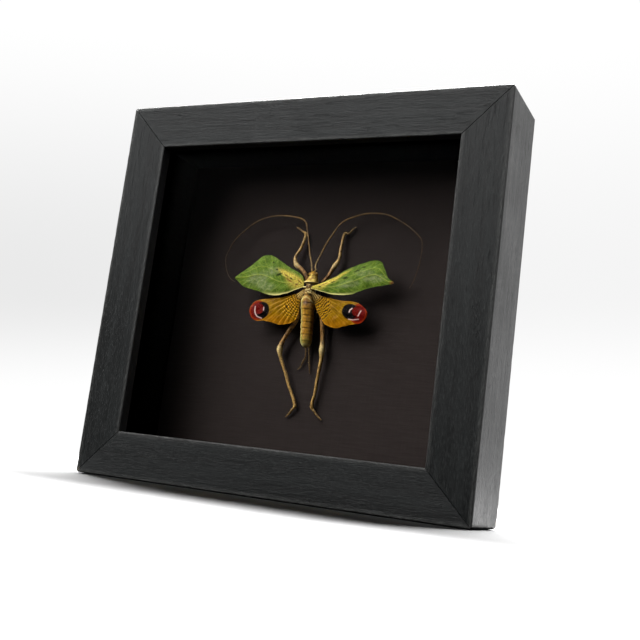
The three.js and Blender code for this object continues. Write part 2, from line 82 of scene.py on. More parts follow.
camera_data = bpy.data.cameras.new("camera")
camera_data.sensor_width = SENSOR_WIDTH
camera_data.lens = FOCAL_PIXELS * SENSOR_WIDTH / PHOTO_PIXELS
camera_data.clip_start = 10 * MM
camera = bpy.data.objects.new("camera", camera_data)
scene.collection.objects.link(camera)
turn = Matrix.Rotation(HEADING, 4, "Z") @ Matrix.Rotation(math.pi / 2 + PITCH, 4, "X")
camera.matrix_world = Matrix.Translation(CAMERA_PLACE) @ turn @ Matrix.Rotation(ROLL, 4, "Z")
scene.camera = camera
print("lens", round(camera_data.lens, 1), "mm")

# %% [markdown]
# A kit for trees of nodes
# A material is a tree of nodes: each node takes numbers or colours in and hands one on. The shader editor
# builds such a tree by dragging links, and a script can do it link by link, which is long and hard to
# read. So a small class adds a node, fills its inputs with numbers, colours or other nodes' outputs, and
# hands back its outputs. The world behind the scene is a tree too, so the sums and mixes that both need
# are in a class of their own.

# %% Colours


def srgb(red, green, blue):
    """A colour read off a screen, 0 to 255, as the linear colour that Blender works in."""
    return tuple((channel / 255) ** 2.2 for channel in (red, green, blue)) + (1.0,)


def grey(value):
    """A linear grey, 0 to 1."""
    return (value, value, value, 1.0)


print("a screen's 128 is", round(srgb(128, 128, 128)[0], 3), "in linear light")

# %% Sums and mixes


class NodeTree:
    """A tree of nodes, and the sums and mixes that every tree needs."""

    def __init__(self, tree):
        self.tree = tree

    def feed(self, socket, value):
        """Links another node's output to the socket, or sets the socket to a plain value."""
        if isinstance(value, bpy.types.NodeSocket):
            self.tree.links.new(value, socket)
        elif value is not None:
            socket.default_value = value

    def node(self, kind, inputs=(), **settings):
        """Adds a node and hands back its outputs."""
        made = self.tree.nodes.new("ShaderNode" + kind)
        for name, value in settings.items():
            setattr(made, name, value)
        for key, value in dict(inputs).items():
            self.feed(made.inputs[key], value)
        return made.outputs

    def sum(self, kind, first, second):
        return self.node("Math", {0: first, 1: second}, operation=kind)[0]

    def plus(self, first, second):
        return self.sum("ADD", first, second)

    def times(self, first, second):
        return self.sum("MULTIPLY", first, second)

    def fit(self, value, low, high, to_low=0.0, to_high=1.0, curve="LINEAR"):
        """The value, fitted from one range into another and kept inside it."""
        inputs = {"Value": value, "From Min": low, "From Max": high, "To Min": to_low, "To Max": to_high}
        return self.node("MapRange", inputs, interpolation_type=curve)[0]

    def blend(self, amount, first, second):
        """A number that goes from the first to the second as the amount goes from 0 to 1."""
        return self.node("Mix", {0: amount, 2: first, 3: second})[0]

    def mix(self, amount, first, second):
        """A colour that goes from the first to the second as the amount goes from 0 to 1."""
        return self.node("Mix", {0: amount, 6: first, 7: second}, data_type="RGBA")[2]


print("sums and mixes ready")

# %% Finishes


class Finish(NodeTree):
    """One material, with the textures that a surface needs."""

    def __init__(self, name):
        self.name = name
        self.material = bpy.data.materials.new(name)
        self.material.use_nodes = True
        self.material.node_tree.nodes.clear()
        super().__init__(self.material.node_tree)

    def place(self):
        """Where a point is on the object, in metres."""
        return self.node("TexCoord")["Object"]

    def place_mm(self):
        """Where a point is on the object, in millimetres."""
        return self.scaled(self.place(), (1 / MM,) * 3)

    def scaled(self, vector, scale):
        return self.node("Mapping", {"Vector": vector, "Scale": scale})[0]

    def painted(self, name):
        """A number that the mesh carries at each of its corners."""
        return self.node("Attribute", attribute_name=name)["Fac"]

    def painted_place(self, name):
        """A place that the mesh carries at each of its corners."""
        return self.node("Attribute", attribute_name=name)["Vector"]

    def noise(self, vector, scale, detail=3.0, roughness=0.5, distortion=0.0):
        inputs = {"Vector": vector, "Scale": scale, "Detail": detail, "Roughness": roughness}
        return self.node("TexNoise", {**inputs, "Distortion": distortion})["Fac"]

    def cells(self, vector, scale, feature="DISTANCE_TO_EDGE"):
        return self.node("TexVoronoi", {"Vector": vector, "Scale": scale}, feature=feature)["Distance"]

    def coats(self, ground, *coats):
        """A colour with coats laid over it in turn, each of them an amount and a colour."""
        for amount, colour in coats:
            ground = self.mix(amount, ground, colour)
        return ground

    def bump(self, height, distance, strength=1.0, normal=None):
        """Relief that only the light sees. The distance is how far it stands out."""
        inputs = {"Height": height, "Distance": distance, "Strength": strength, "Normal": normal}
        return self.node("Bump", inputs)[0]

    def surface(self, **inputs):
        """Ends the material with a Principled shader. Its sockets are named with underscores for spaces."""
        named = {key.replace("_", " "): value for key, value in inputs.items()}
        return self.output(self.node("BsdfPrincipled", named)[0])

    def output(self, shader):
        self.node("OutputMaterial", {"Surface": shader})
        print("finish", self.name, "made of", len(self.tree.nodes), "nodes")
        return self.material


print("finishes ready")

# %% [markdown]
# A kit for meshes
# Most pieces here are skins over a row of rings: a rail is a profile pushed along its length, and a leg
# is a circle carried along a curve. Curve objects and modifiers can make such shapes, but then nothing is
# known about a point except its place. A skin made ring by ring knows more, such as how near a point is
# to an edge. Those numbers are stored on the mesh by name, and the material reads them.

# %% Skins over rings


def skin(rings):
    """Vertices and faces of a closed skin over rings, an array of rings by sides by 3."""
    count, sides, _ = rings.shape
    faces = []
    for i in range(count - 1):
        for j in range(sides):
            a, b = i * sides + j, i * sides + (j + 1) % sides
            faces.append((a, b, b + sides, a + sides))
    middles = [rings[0].mean(0), rings[-1].mean(0)]
    for end, start in enumerate((0, (count - 1) * sides)):
        centre = count * sides + end
        for j in range(sides):
            pair = (start + j, start + (j + 1) % sides)
            faces.append((centre, *(pair if end else pair[::-1])))
    return np.vstack([rings.reshape(-1, 3), middles]), faces


def joined(parts):
    """Several (vertices, faces) as one."""
    vertices, faces, start = [], [], 0
    for points, polygons in parts:
        vertices.append(points)
        faces += [tuple(start + index for index in face) for face in polygons]
        start += len(points)
    return np.vstack(vertices), faces


print("skins ready")

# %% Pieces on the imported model


def paint(mesh, painted):
    """Stores numbers or places on the mesh by name. Points past the end of a list repeat its last value."""
    for key, values in painted.items():
        values = np.asarray(values, np.float32)
        missing = len(mesh.vertices) - len(values)
        values = np.concatenate([values, np.repeat(values[-1:], missing, 0)])
        if values.ndim == 1:
            mesh.attributes.new(key, "FLOAT", "POINT").data.foreach_set("value", values)
        else:
            mesh.attributes.new(key, "FLOAT_VECTOR", "POINT").data.foreach_set("vector", values.ravel())


def piece(name, shape, material, stands_for, painted, sharp_angle=None):
    """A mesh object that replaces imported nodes. The shape's points are in millimetres."""
    vertices, faces = shape
    mesh = bpy.data.meshes.new(name)
    mesh.from_pydata((vertices * MM).tolist(), [], faces)
    paint(mesh, painted)
    work = bmesh.new()
    work.from_mesh(mesh)
    bmesh.ops.recalc_face_normals(work, faces=work.faces)
    work.to_mesh(mesh)
    work.free()
    mesh.shade_smooth()
    if sharp_angle is not None:
        mesh.set_sharp_from_angle(angle=math.radians(sharp_angle))
    mesh.materials.append(material)
    made = bpy.data.objects.new(name, mesh)
    scene.collection.objects.link(made)
    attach(made, "root")
    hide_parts(*stands_for)
    print(name, len(mesh.polygons), "faces")


print("pieces ready")

# %% Soft edges and noise


def bell(distance, width):
    """1 at distance 0, falling smoothly to 0 over a few widths."""
    return np.exp(-((distance / width) ** 2))


def smooth_step(values, low, high):
    """0 up to the low value, 1 from the high value on, and a smooth rise between them."""
    share = np.clip((values - low) / (high - low), 0, 1)
    return share * share * (3 - 2 * share)


def wobble(points, scale, seed):
    """Smooth noise from -1 to 1 at each point, with features about the scale across."""
    shift = Vector((seed * 13.7, seed * 5.1, seed * 9.3))
    return np.array([noise.noise(Vector(point) / scale + shift) for point in points])


print("half a width from a line a bell is", round(float(bell(0.5, 1)), 2))

# %% [markdown]
# The floor
# The frame stands on white paper that runs on into a white background. A photographer would bend the
# paper up behind it, but the bend would show as a dark corner in the side views. So the floor is flat,
# and far from the frame it fades out into the evenly painted world. The black varnish would mirror the
# floor in front as a pale haze, and a bright floor would light the rails from below. The photo shows
# neither, so those rays see dark paper. Cycles can tell the kinds of ray apart.

# %% Floor
# The floor and the lamps are far larger than the frame, so their lengths are in metres
FLOOR_HALF = 1.4
FLOOR_DROP = 0.2 * MM
FADE_START, FADE_END = 0.55, 0.95
FIBRES_PER_METRE = 900
PAPER_TONES = grey(0.87), grey(0.91)
PAPER_IN_VARNISH, PAPER_AS_LAMP = grey(0.04), grey(0.03)
DARK_UP_TO, LIGHT_FROM = -0.05, 0.04


def floor_finish():
    paper = Finish("floor_paper")
    place = paper.place()
    tone = paper.mix(paper.fit(paper.noise(place, FIBRES_PER_METRE), 0.3, 0.7), *PAPER_TONES)
    rays = paper.node("LightPath")
    in_front = paper.fit(paper.node("SeparateXYZ", {0: place})["Y"], DARK_UP_TO, LIGHT_FROM, 1, 0)
    tone = paper.coats(
        tone,
        (rays["Is Diffuse Ray"], PAPER_AS_LAMP),
        (paper.times(rays["Is Glossy Ray"], in_front), PAPER_IN_VARNISH),
    )
    sheet = paper.node("BsdfDiffuse", {"Color": tone})[0]
    away = paper.node("VectorMath", {0: place}, operation="LENGTH")["Value"]
    faded = paper.fit(away, FADE_START, FADE_END)
    nothing = paper.node("BsdfTransparent")[0]
    return paper.output(paper.node("MixShader", {0: faded, 1: sheet, 2: nothing})[0])


def make_floor():
    corners = [(x * FLOOR_HALF, y * FLOOR_HALF, -FLOOR_DROP) for x, y in ((-1, -1), (1, -1), (1, 1), (-1, 1))]
    mesh = bpy.data.meshes.new("floor")
    mesh.from_pydata(corners, [], [(0, 1, 2, 3)])
    mesh.materials.append(floor_finish())
    made = bpy.data.objects.new("floor", mesh)
    scene.collection.objects.link(made)
    return made


FLOOR = make_floor()
print("floor, faded out between", FADE_START, "and", FADE_END, "m")

# %% [markdown]
# The lamps
# Three soft lamps light the scene. The key lamp stands high on the left, so steeply to the side that the
# left and top walls of the frame throw their long soft shadow over the mount board, and every vein and
# fold stands out. It is hidden from reflections, so that it makes no glare in the pane. A small high lamp
# is there only to put highlights on the insect. The third stands behind the frame. It whitens the paper
# and leaves a dark band in front of the frame, and the other two leave the paper out, as a screen before
# a real lamp would. Light linking does this: a lamp is given a collection of the things that it skips.

# %% Lamps
AIM = Vector((0, 0, 94)) * MM


def spare(lamp, thing):
    """Keeps the lamp's light off the thing."""
    spared = bpy.data.collections.new(lamp.name + "_spares")
    spared.objects.link(thing)
    lamp.light_linking.receiver_collection = spared
    for entry in spared.collection_objects:
        entry.light_linking.link_state = "EXCLUDE"


def soft_lamp(name, left, above, distance, width, height, watts):
    """A lamp that looks at the middle of the frame, from angles to the left of it and above it."""
    data = bpy.data.lights.new(name, "AREA")
    data.shape = "RECTANGLE"
    data.size, data.size_y = width, height
    data.energy = watts
    lamp = bpy.data.objects.new(name, data)
    scene.collection.objects.link(lamp)
    left, above = math.radians(left), math.radians(above)
    way = Vector((-math.sin(left) * math.cos(above), -math.cos(left) * math.cos(above), math.sin(above)))
    lamp.location = AIM + way * distance
    lamp.rotation_euler = (-way).to_track_quat("-Z", "Y").to_euler()
    print(name, watts, "W")
    return lamp


key_lamp = soft_lamp("key_lamp", left=66, above=40, distance=0.8, width=1.0, height=0.9, watts=39)
key_lamp.visible_glossy = False
spare(key_lamp, FLOOR)
highlight_lamp = soft_lamp(
    "highlight_lamp", left=8, above=50, distance=1.2, width=0.35, height=0.35, watts=1.2
)
spare(highlight_lamp, FLOOR)
soft_lamp("table_lamp", left=160, above=61, distance=1.5, width=1.3, height=0.4, watts=88)

# %% [markdown]
# The world
# The world is all that lies behind the scene. It could be a picture of a room, but a few ramps by
# direction are easier to steer. It answers each kind of ray in its own way. The camera sees a wall that
# is white low down and high up and pale grey between, greyer on the left. Gloss sees a dark room in front
# that brightens upwards, which makes the rails fall from light at the top to dark below, and the pale
# wall behind. All other rays get only a faint fill, so that the inside of the frame stays black.

# %% World
FAINT_FILL = 0.01
ROOM_LIGHT, ROOM_TOP = (0.02, 1.7), 0.6
WALL_IN_GLOSS, WALL_STARTS = 0.95, (-0.1, 0.3)
WALL_WHITE = 1.02
WALL_SHADES, SHADES_FROM_LEFT = (0.82, 0.91), (-0.75, -0.2)
GREY_STARTS, GREY_ENDS = (-0.09, 0.03), (0.04, 0.34)
PICTURE_UP = camera.matrix_world.to_3x3() @ Vector((0, 1, 0))


def studio_world():
    world = bpy.data.worlds.new("studio")
    world.use_nodes = True
    tree = NodeTree(world.node_tree)

    def ramp(value, ends, to_ends=(0, 1)):
        return tree.fit(value, *ends, *to_ends, curve="SMOOTHSTEP")

    direction = tree.node("TexCoord")["Generated"]
    way = tree.node("SeparateXYZ", {0: direction})
    room = ramp(way["Z"], (0, ROOM_TOP), ROOM_LIGHT)
    room = tree.blend(ramp(way["Y"], WALL_STARTS), room, WALL_IN_GLOSS)
    lift = tree.node("VectorMath", {0: direction, 1: PICTURE_UP}, operation="DOT_PRODUCT")["Value"]
    wall = tree.blend(ramp(lift, GREY_ENDS), ramp(way["X"], SHADES_FROM_LEFT, WALL_SHADES), WALL_WHITE)
    wall = tree.blend(ramp(lift, GREY_STARTS), WALL_WHITE, wall)
    rays = tree.node("LightPath")
    strength = tree.blend(rays["Is Glossy Ray"], FAINT_FILL, room)
    strength = tree.blend(rays["Is Camera Ray"], strength, wall)
    background = world.node_tree.nodes["Background"]
    tree.feed(background.inputs["Color"], grey(1.0))
    tree.feed(background.inputs["Strength"], strength)
    return world


scene.world = studio_world()
scene.view_settings.view_transform = "Standard"
print("world of", len(scene.world.node_tree.nodes), "nodes")

# %% [markdown]
# Black stained wood
# The moulding is planed softwood with a thin black stain and a satin varnish. Under such a coat the pores
# stay as fine dark strokes along the grain, a few millimetres long and a fraction wide, and the varnish
# is glossier between them. A picture of wood would repeat and break at the mitres, so the grain is noise,
# read in a place that runs along each rail. Stretched along the rail it gives the strokes, and a slower
# one the bands of early and late wood. Both also lift the surface slightly, because the grain can be
# felt. Edges are a little paler in patches. The lip's inner edge is near black and matt: partly a black
# finish, and partly painted shade of the recess that it borders.

# %% Colours of the wood
STAIN_TONES = srgb(10, 11, 11), srgb(21, 23, 23)
PORE_BLACK = srgb(6, 6, 7)
STREAK_GREY = srgb(60, 62, 62)
# Paler near the edges, in patches
PALE_EDGE_GREY = srgb(92, 92, 90)
BARE_WOOD = srgb(190, 178, 158)
# The lip's inner edge: partly a black finish, partly painted shade of the recess
INSIDE_BLACK_AND_SHADE = srgb(3, 3, 3)
print("stain", [round(channel, 4) for channel in STAIN_TONES[0][:3]])

# %% Stained wood


def stained_wood():
    wood = Finish("stained_wood")
    grain = wood.painted_place("grain")
    bands = wood.noise(wood.scaled(grain, (0.008, 0.22, 0.22)), 1, detail=4, distortion=0.4)
    strokes = wood.noise(wood.scaled(grain, (0.1, 1.5, 1.5)), 1, detail=5, roughness=0.72)
    pores = wood.fit(strokes, 0.55, 0.68)
    fine = wood.noise(wood.scaled(grain, (0.55, 3.4, 3.4)), 1, detail=3, roughness=0.7)
    smudge = wood.noise(grain, 0.035, detail=3)
    # Paler near the arrises, in patches of the fine noise
    pale_edges = wood.times(wood.painted("arris"), wood.fit(fine, 0.35, 0.65))
    inside = wood.painted("inside")
    tone = wood.coats(
        wood.mix(wood.fit(bands, 0.3, 0.7), *STAIN_TONES),
        (wood.times(pores, 0.85), PORE_BLACK),
        (wood.fit(fine, 0.52, 0.72, 0, 0.5), STREAK_GREY),
        (wood.times(pale_edges, 0.3), PALE_EDGE_GREY),
        (wood.painted("chip"), BARE_WOOD),
        # The lip's inner edge made near black: partly a black finish, partly painted shade
        (inside, INSIDE_BLACK_AND_SHADE),
    )
    gloss = wood.plus(wood.fit(smudge, 0.3, 0.7, 0.32, 0.44), wood.times(pores, 0.25))
    gloss = wood.plus(gloss, wood.fit(fine, 0.38, 0.62, -0.05, 0.08))
    gloss = wood.plus(gloss, wood.fit(bands, 0.36, 0.64, -0.04, 0.05))
    gloss = wood.sum("MAXIMUM", gloss, wood.times(inside, 0.55))
    relief = wood.sum("SUBTRACT", wood.fit(bands, 0.2, 0.8, 0, 0.5), pores)
    relief = wood.plus(relief, wood.times(strokes, 1.5))
    normal = wood.bump(fine, 0.1 * MM, 1.0, wood.bump(relief, 0.17 * MM))
    return wood.surface(Base_Color=tone, Roughness=gloss, Normal=normal, Specular_IOR_Level=0.5)


STAINED_WOOD = stained_wood()

# %% [markdown]
# The four rails
# Each rail is one length of moulding with a step cut in its back, mitred at both ends. It could be a box
# with bevelled edges, but then it would be as sharp and straight as a drawing. Here its profile is a ring
# of points with rounded corners, and the mitre comes from shortening each line of points by how far in it
# lies. Real arrises are never knife sharp or quite straight, so noise dents them a little. The sizes that
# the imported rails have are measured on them.

# %% Sizes of the moulding


def packed_box(name):
    """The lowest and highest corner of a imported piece, in millimetres."""
    node = frame["nodes"][name]
    corners = np.array([node.matrix_world @ vertex.co for vertex in node.data.vertices]) / MM
    return corners.min(0).round(3), corners.max(0).round(3)


BOTTOM_LOW, BOTTOM_HIGH = packed_box("rail_bottom")
FRAME_WIDTH = packed_box("rail_right")[1][0] - packed_box("rail_left")[0][0]
FRAME_HEIGHT = packed_box("rail_top")[1][2]
FACE_Y, REAR_Y = BOTTOM_LOW[1], BOTTOM_HIGH[1]
RAIL_FACE = BOTTOM_HIGH[2] - BOTTOM_LOW[2]
REBATE, LIP_BACK_Y = 17.0, -13.0
MITRE_GAP = 0.3
print("frame", FRAME_WIDTH, "by", FRAME_HEIGHT, "mm, face", RAIL_FACE, "mm, depth", REAR_Y - FACE_Y, "mm")

# %% Rounded profile
ARRIS_RADIUS = 0.8
PROFILE_STEP = 1.6
CORNER_GUARD = 0.12
ARRIS_WIDTH = 0.4
ARC_STEPS = 4

# Depth, distance in from the outer edge, and radius at each corner of the profile
PROFILE = [
    (FACE_Y, 0.0, ARRIS_RADIUS), (REAR_Y, 0.0, ARRIS_RADIUS), (REAR_Y, REBATE, 0.4),
    (LIP_BACK_Y, REBATE, 0.2), (LIP_BACK_Y, RAIL_FACE, 0.4), (FACE_Y, RAIL_FACE, 0.6),
]


def unit(vector):
    return vector / np.linalg.norm(vector)


def flat_shares(length):
    """Shares along a flat stretch that get a point: evenly spread, and one close to each corner."""
    spans = max(1, round(length / PROFILE_STEP))
    shares = [step / spans for step in range(1, spans)]
    if length > 1:
        shares = [CORNER_GUARD / length, *shares, 1 - CORNER_GUARD / length]
    return shares


def rounded_profile():
    """Points round the profile, and each point's nearness to a corner."""
    points, nearness = [], []
    corners = [(np.array((depth, inward)), radius) for depth, inward, radius in PROFILE]
    for i, (here, radius) in enumerate(corners):
        after, next_radius = corners[(i + 1) % len(corners)]
        back, on = unit(corners[i - 1][0] - here), unit(after - here)
        centre = here + radius * (back + on)
        for step in range(ARC_STEPS + 1):
            angle = step / ARC_STEPS * math.pi / 2
            points.append(centre - radius * (on * math.cos(angle) + back * math.sin(angle)))
            nearness.append(1.0)
        start, end = here + on * radius, after - on * next_radius
        length = np.linalg.norm(end - start)
        for share in flat_shares(length):
            points.append(start + (end - start) * share)
            nearness.append(float(bell(length * min(share, 1 - share), ARRIS_WIDTH)))
    return np.array(points), np.array(nearness)


print(len(rounded_profile()[0]), "points round the profile")

# %% Lines of points along a rail
RAIL_STATIONS = 150
END_CROWDING = 0.35
DENT_DEPTH, DENT_SIZE = 0.10, 3.5
CORNER_BLUNTING = 1.3


def rail_points(length):
    """Place along the rail, distance in and depth of every point, and its nearness to an arris."""
    profile, nearness = rounded_profile()
    spread = np.linspace(-1, 1, RAIL_STATIONS)
    spread = np.sin(spread * math.pi / 2) * END_CROWDING + spread * (1 - END_CROWDING)
    reach = length / 2 - profile[:, 1] - MITRE_GAP / math.sqrt(2)
    along = spread[:, None] * reach[None, :]
    inward = np.broadcast_to(profile[:, 1], along.shape)
    depth = np.broadcast_to(profile[:, 0], along.shape)
    return along, inward, depth, np.broadcast_to(nearness, along.shape)


def dented(along, inward, depth, nearness, seed):
    """The distance in and the depth of every point, with the arrises dented by noise."""
    places = np.stack([along, inward, depth], -1).reshape(-1, 3)
    dents = DENT_DEPTH * nearness * np.clip(wobble(places, DENT_SIZE, seed).reshape(along.shape), 0, 1)
    return inward + np.sign(RAIL_FACE / 2 - inward) * dents, depth + np.sign(-depth) * dents


def blunted(x, z):
    """Places seen from the front, with the frame's four sharp corners taken in a little."""
    gap_x = FRAME_WIDTH / 2 - np.abs(x)
    gap_z = np.minimum(z, FRAME_HEIGHT - z)
    over = np.clip(0.5 * (CORNER_BLUNTING - gap_x - gap_z), 0, None)
    return x - np.sign(x) * over, z + np.sign(FRAME_HEIGHT / 2 - z) * over


print("the corners lose", CORNER_BLUNTING / 2, "mm each way")

# %% Small marks of wear
# Each mark's x, z, depth, radius, and how pale the bare wood shows in it
CHIPS = [
    (99.2, 3.0, 18.0, 1.5, 0.9), (98.9, 1.4, 17.2, 1.2, 0.7), (99.5, 22.0, 18.6, 0.8, 0.4),
    (84.2, 42.5, -19.0, 0.55, 0.35), (85.3, 41.5, -19.0, 0.4, 0.25),
    (-99.3, 0.6, -18.6, 1.0, 0.3),
]
CHIP_DEPTH = 0.25


def chipped(x, z, depth):
    """How bare each point is, and how far it is knocked in."""
    bare, knock = np.zeros(x.shape), np.zeros(x.shape)
    for chip_x, chip_z, chip_depth, radius, strength in CHIPS:
        away = np.sqrt((x - chip_x) ** 2 + (z - chip_z) ** 2 + (depth - chip_depth) ** 2)
        hit = bell(away, radius)
        bare = np.maximum(bare, strength * smooth_step(hit, 0.35, 0.6))
        knock = knock + CHIP_DEPTH * hit * strength
    return bare, knock


print(len(CHIPS), "small marks")

# %% Rails
GRAIN_APART = 300, 40
INNER_WALL = RAIL_FACE - 0.35, RAIL_FACE - 0.05
BEHIND_FACE = FACE_Y + 0.3, FACE_Y + 0.8


def rail(name, turn, x, z, length, seed):
    """One rail, from the middle of its outer edge and its turn as seen from the front."""
    along, inward, depth, nearness = rail_points(length)
    inward, depth = dented(along, inward, depth, nearness, seed)
    out_x = x + along * math.cos(turn) + inward * math.sin(turn)
    out_z = z - along * math.sin(turn) + inward * math.cos(turn)
    out_x, out_z = blunted(out_x, out_z)
    bare, knock = chipped(out_x, out_z, depth)
    rings = np.stack([out_x - np.sign(out_x) * knock, depth, out_z], -1)
    grain = np.stack([along + GRAIN_APART[0] * seed, inward + GRAIN_APART[1] * seed, depth], -1)
    # Where the lip's inner edge is; the finish darkens it there, partly as painted shade
    inside = smooth_step(inward, *INNER_WALL) * smooth_step(depth, *BEHIND_FACE)
    painted = {
        "grain": grain.reshape(-1, 3),
        "arris": nearness.reshape(-1),
        "chip": bare.reshape(-1),
        "inside": inside.reshape(-1),
    }
    piece(name, skin(rings), STAINED_WOOD, [name], painted, sharp_angle=32)


rail("rail_bottom", 0, 0, 0, FRAME_WIDTH, seed=1)
rail("rail_top", math.pi, 0, FRAME_HEIGHT, FRAME_WIDTH, seed=2)
rail("rail_left", math.pi / 2, -FRAME_WIDTH / 2, FRAME_HEIGHT / 2, FRAME_HEIGHT, seed=3)
rail("rail_right", -math.pi / 2, FRAME_WIDTH / 2, FRAME_HEIGHT / 2, FRAME_HEIGHT, seed=4)

# %% [markdown]
# Curves for the insect
# Wings and legs are drawn as a few points each, in millimetres from the thorax: x to the right,
# depth towards the board, and height up. Straight lines between them would show as corners, and a usual
# smooth curve swings out where two points lie close together. A centripetal curve goes through every
# point and doesn't.

# %% Curves through points
# Where the thorax is in the frame
INSECT = np.array((2.0, 6.5, 100.0))
FINE_STEPS = 60


def curve_through(points, count, even=True):
    """Points along a smooth curve, and how many of the given points have been passed at each."""
    points = np.asarray(points, float)
    padded = np.vstack([2 * points[0] - points[1], points, 2 * points[-1] - points[-2]])
    knots = np.sqrt(np.linalg.norm(np.diff(padded, axis=0), axis=1))
    spans = len(points) - 1

    def at(passed):
        i = np.minimum(passed.astype(int), spans - 1)
        s = (passed - i)[:, None]
        p0, p1, p2, p3 = (padded[i + k] for k in range(4))
        d0, d1, d2 = (knots[i + k][:, None] for k in range(3))
        leave = ((p1 - p0) / d0 - (p2 - p0) / (d0 + d1) + (p2 - p1) / d1) * d1
        arrive = ((p2 - p1) / d1 - (p3 - p1) / (d1 + d2) + (p3 - p2) / d2) * d1
        square = 3 * (p2 - p1) - 2 * leave - arrive
        cube = 2 * (p1 - p2) + leave + arrive
        return p1 + s * leave + s**2 * square + s**3 * cube

    passed = np.linspace(0, spans, count)
    if even:
        fine = np.linspace(0, spans, FINE_STEPS * spans + 1)
        steps = np.linalg.norm(np.diff(at(fine), axis=0), axis=1)
        length = np.concatenate([[0], np.cumsum(steps)])
        passed = np.interp(np.linspace(0, length[-1], count), length, fine)
    return at(passed), passed


def bend(values, shares):
    """A number that runs through the given values as a share goes from 0 to 1."""
    return np.interp(shares, np.linspace(0, 1, len(values)), values)


print("curves ready, the insect sits at", INSECT.tolist(), "mm")

# %% [markdown]
# The plan of a wing
# A wing is a thin sheet between an upper and a lower edge. A flat plane cut out by a picture would be the
# quick way, but it has no edge, no folds and no solid to export. Here the space between the edges is
# filled with a grid, about six points to a millimetre, fine enough for veins to stand up as real relief.
# Each point knows its share along the wing and across it, which is how veins and marks find their places.

# %% Wing plan
WING_ROWS, WING_COLUMNS = 220, 84
SHEET_THICKNESS, SHEET_EDGE = 0.2, 0.1
EDGE_WAVE_SIZE = 2.2


def ragged(points, size, seed):
    """An edge with small uneven waves, which die out at both ends."""
    flat = np.column_stack([points, np.zeros(len(points))])
    waves = np.stack([wobble(flat, EDGE_WAVE_SIZE, seed), wobble(flat, EDGE_WAVE_SIZE, seed + 1)], -1)
    return points + size * np.sin(math.pi * np.linspace(0, 1, len(points)))[:, None] ** 0.5 * waves


class Wing:
    """The plan of one wing: where its points lie, how deep, and half how thick they are."""

    def __init__(self, upper, lower, root_depth, tip_depth, camber, wavy, seed, root_lift=0.0):
        self.upper = ragged(curve_through(upper, WING_ROWS)[0], wavy[0], seed)
        self.lower = ragged(curve_through(lower, WING_ROWS)[0], wavy[1], seed + 5)
        self.along = np.linspace(0, 1, WING_ROWS)
        self.across = np.linspace(0, 1, WING_COLUMNS)[None, :]
        share = self.across[..., None]
        self.plan = self.upper[:, None] * (1 - share) + self.lower[:, None] * share
        self.places = np.dstack([self.plan, np.zeros(self.plan.shape[:2])])
        bulge = 1 - (2 * self.across - 1) ** 2
        arch = camber * np.sin(math.pi * self.along)[:, None] ** 0.7 * bulge
        self.depth = (root_depth + (tip_depth - root_depth) * self.along)[:, None] - arch
        self.depth = self.depth - root_lift * bell(self.along, 0.09)[:, None]
        self.half = (SHEET_EDGE + (SHEET_THICKNESS - SHEET_EDGE) * np.sqrt(bulge)) / 2

    def spot(self, along, across):
        """Where on the plan a share along and a share across lie."""
        ends = [
            np.array([np.interp(along, self.along, edge[:, k]) for k in (0, 1)]).T
            for edge in (self.upper, self.lower)
        ]
        share = np.asarray(across)[..., None]
        return ends[0] * (1 - share) + ends[1] * share

    def waves(self, scale, seed):
        """Smooth noise from -1 to 1 over the plan."""
        return wobble(self.places.reshape(-1, 3), scale, seed).reshape(self.plan.shape[:2])


print("wing plans of", WING_ROWS, "by", WING_COLUMNS, "points")

# %% [markdown]
# Marks and relief on a wing
# Veins, flecks and eyespots could be painted on a picture, but no picture is used here. Each mark is a
# line or an oval laid over the plan, and gives every point a number: how much of that mark it
# has. The same numbers colour the wing and raise its veins. The sheet gets a front and a back face with a
# rounded edge, so that it looks right from behind too.

# %% Lines, ovals and sheets
TINY = 1e-9
BACK_RELIEF = 0.6


def near_line(wing, line, width):
    """1 on a line drawn through points of the plan, falling to 0 beside it."""
    nearest = np.full(wing.plan.shape[:2], np.inf)
    for start, end in zip(line[:-1], line[1:]):
        step = end - start
        share = np.clip(((wing.plan - start) @ step) / (step @ step + TINY), 0, 1)
        gap = wing.plan - start - share[..., None] * step
        nearest = np.minimum(nearest, (gap**2).sum(-1))
    return np.exp(-nearest / width**2)


def oval(wing, centre, radii, lean=0.0, softness=0.15):
    """1 inside an oval on the plan, 0 outside it."""
    gap = wing.plan - np.array(centre)
    cos, sin = math.cos(math.radians(lean)), math.sin(math.radians(lean))
    x = (gap[..., 0] * cos + gap[..., 1] * sin) / radii[0]
    y = (gap[..., 1] * cos - gap[..., 0] * sin) / radii[1]
    return 1 - smooth_step(np.sqrt(x**2 + y**2), 1 - softness, 1 + softness)


def ovals(wing, marks):
    """Several ovals as one mark."""
    return np.clip(sum(oval(wing, *mark) for mark in marks), 0, 1)


def sheet(wing, name, relief, painted, material, slot):
    """The finished wing. Relief is how far veins and folds move the sheet towards the front."""
    thick = np.broadcast_to(wing.half, relief.shape)
    front = wing.depth - relief - thick
    back = wing.depth - BACK_RELIEF * relief + thick
    sides = [np.dstack([wing.plan[..., 0], depth, wing.plan[..., 1]]) for depth in (front, back)]
    rings = np.concatenate([sides[0], sides[1][:, ::-1]], 1) + INSECT
    both = {}
    for key, values in {"plan": wing.places, **painted}.items():
        ring = np.concatenate([values, values[:, ::-1]], 1)
        both[key] = ring.reshape(-1, 3) if ring.ndim == 3 else ring.reshape(-1)
    piece(name, skin(rings), material, [name], both, sharp_angle=70)


print("marks and sheets ready")

# %% [markdown]
# The forewings' finish
# The forewings are leathery and leaf green. A green picture of a leaf would have the wrong veins, so the
# finish is built in coats, as a painter would: a patchy green, flecks, a fine net of cells, and then the
# marks that the mesh carries. The net is a Voronoi texture, because dried cells crowd together as its
# cells do.

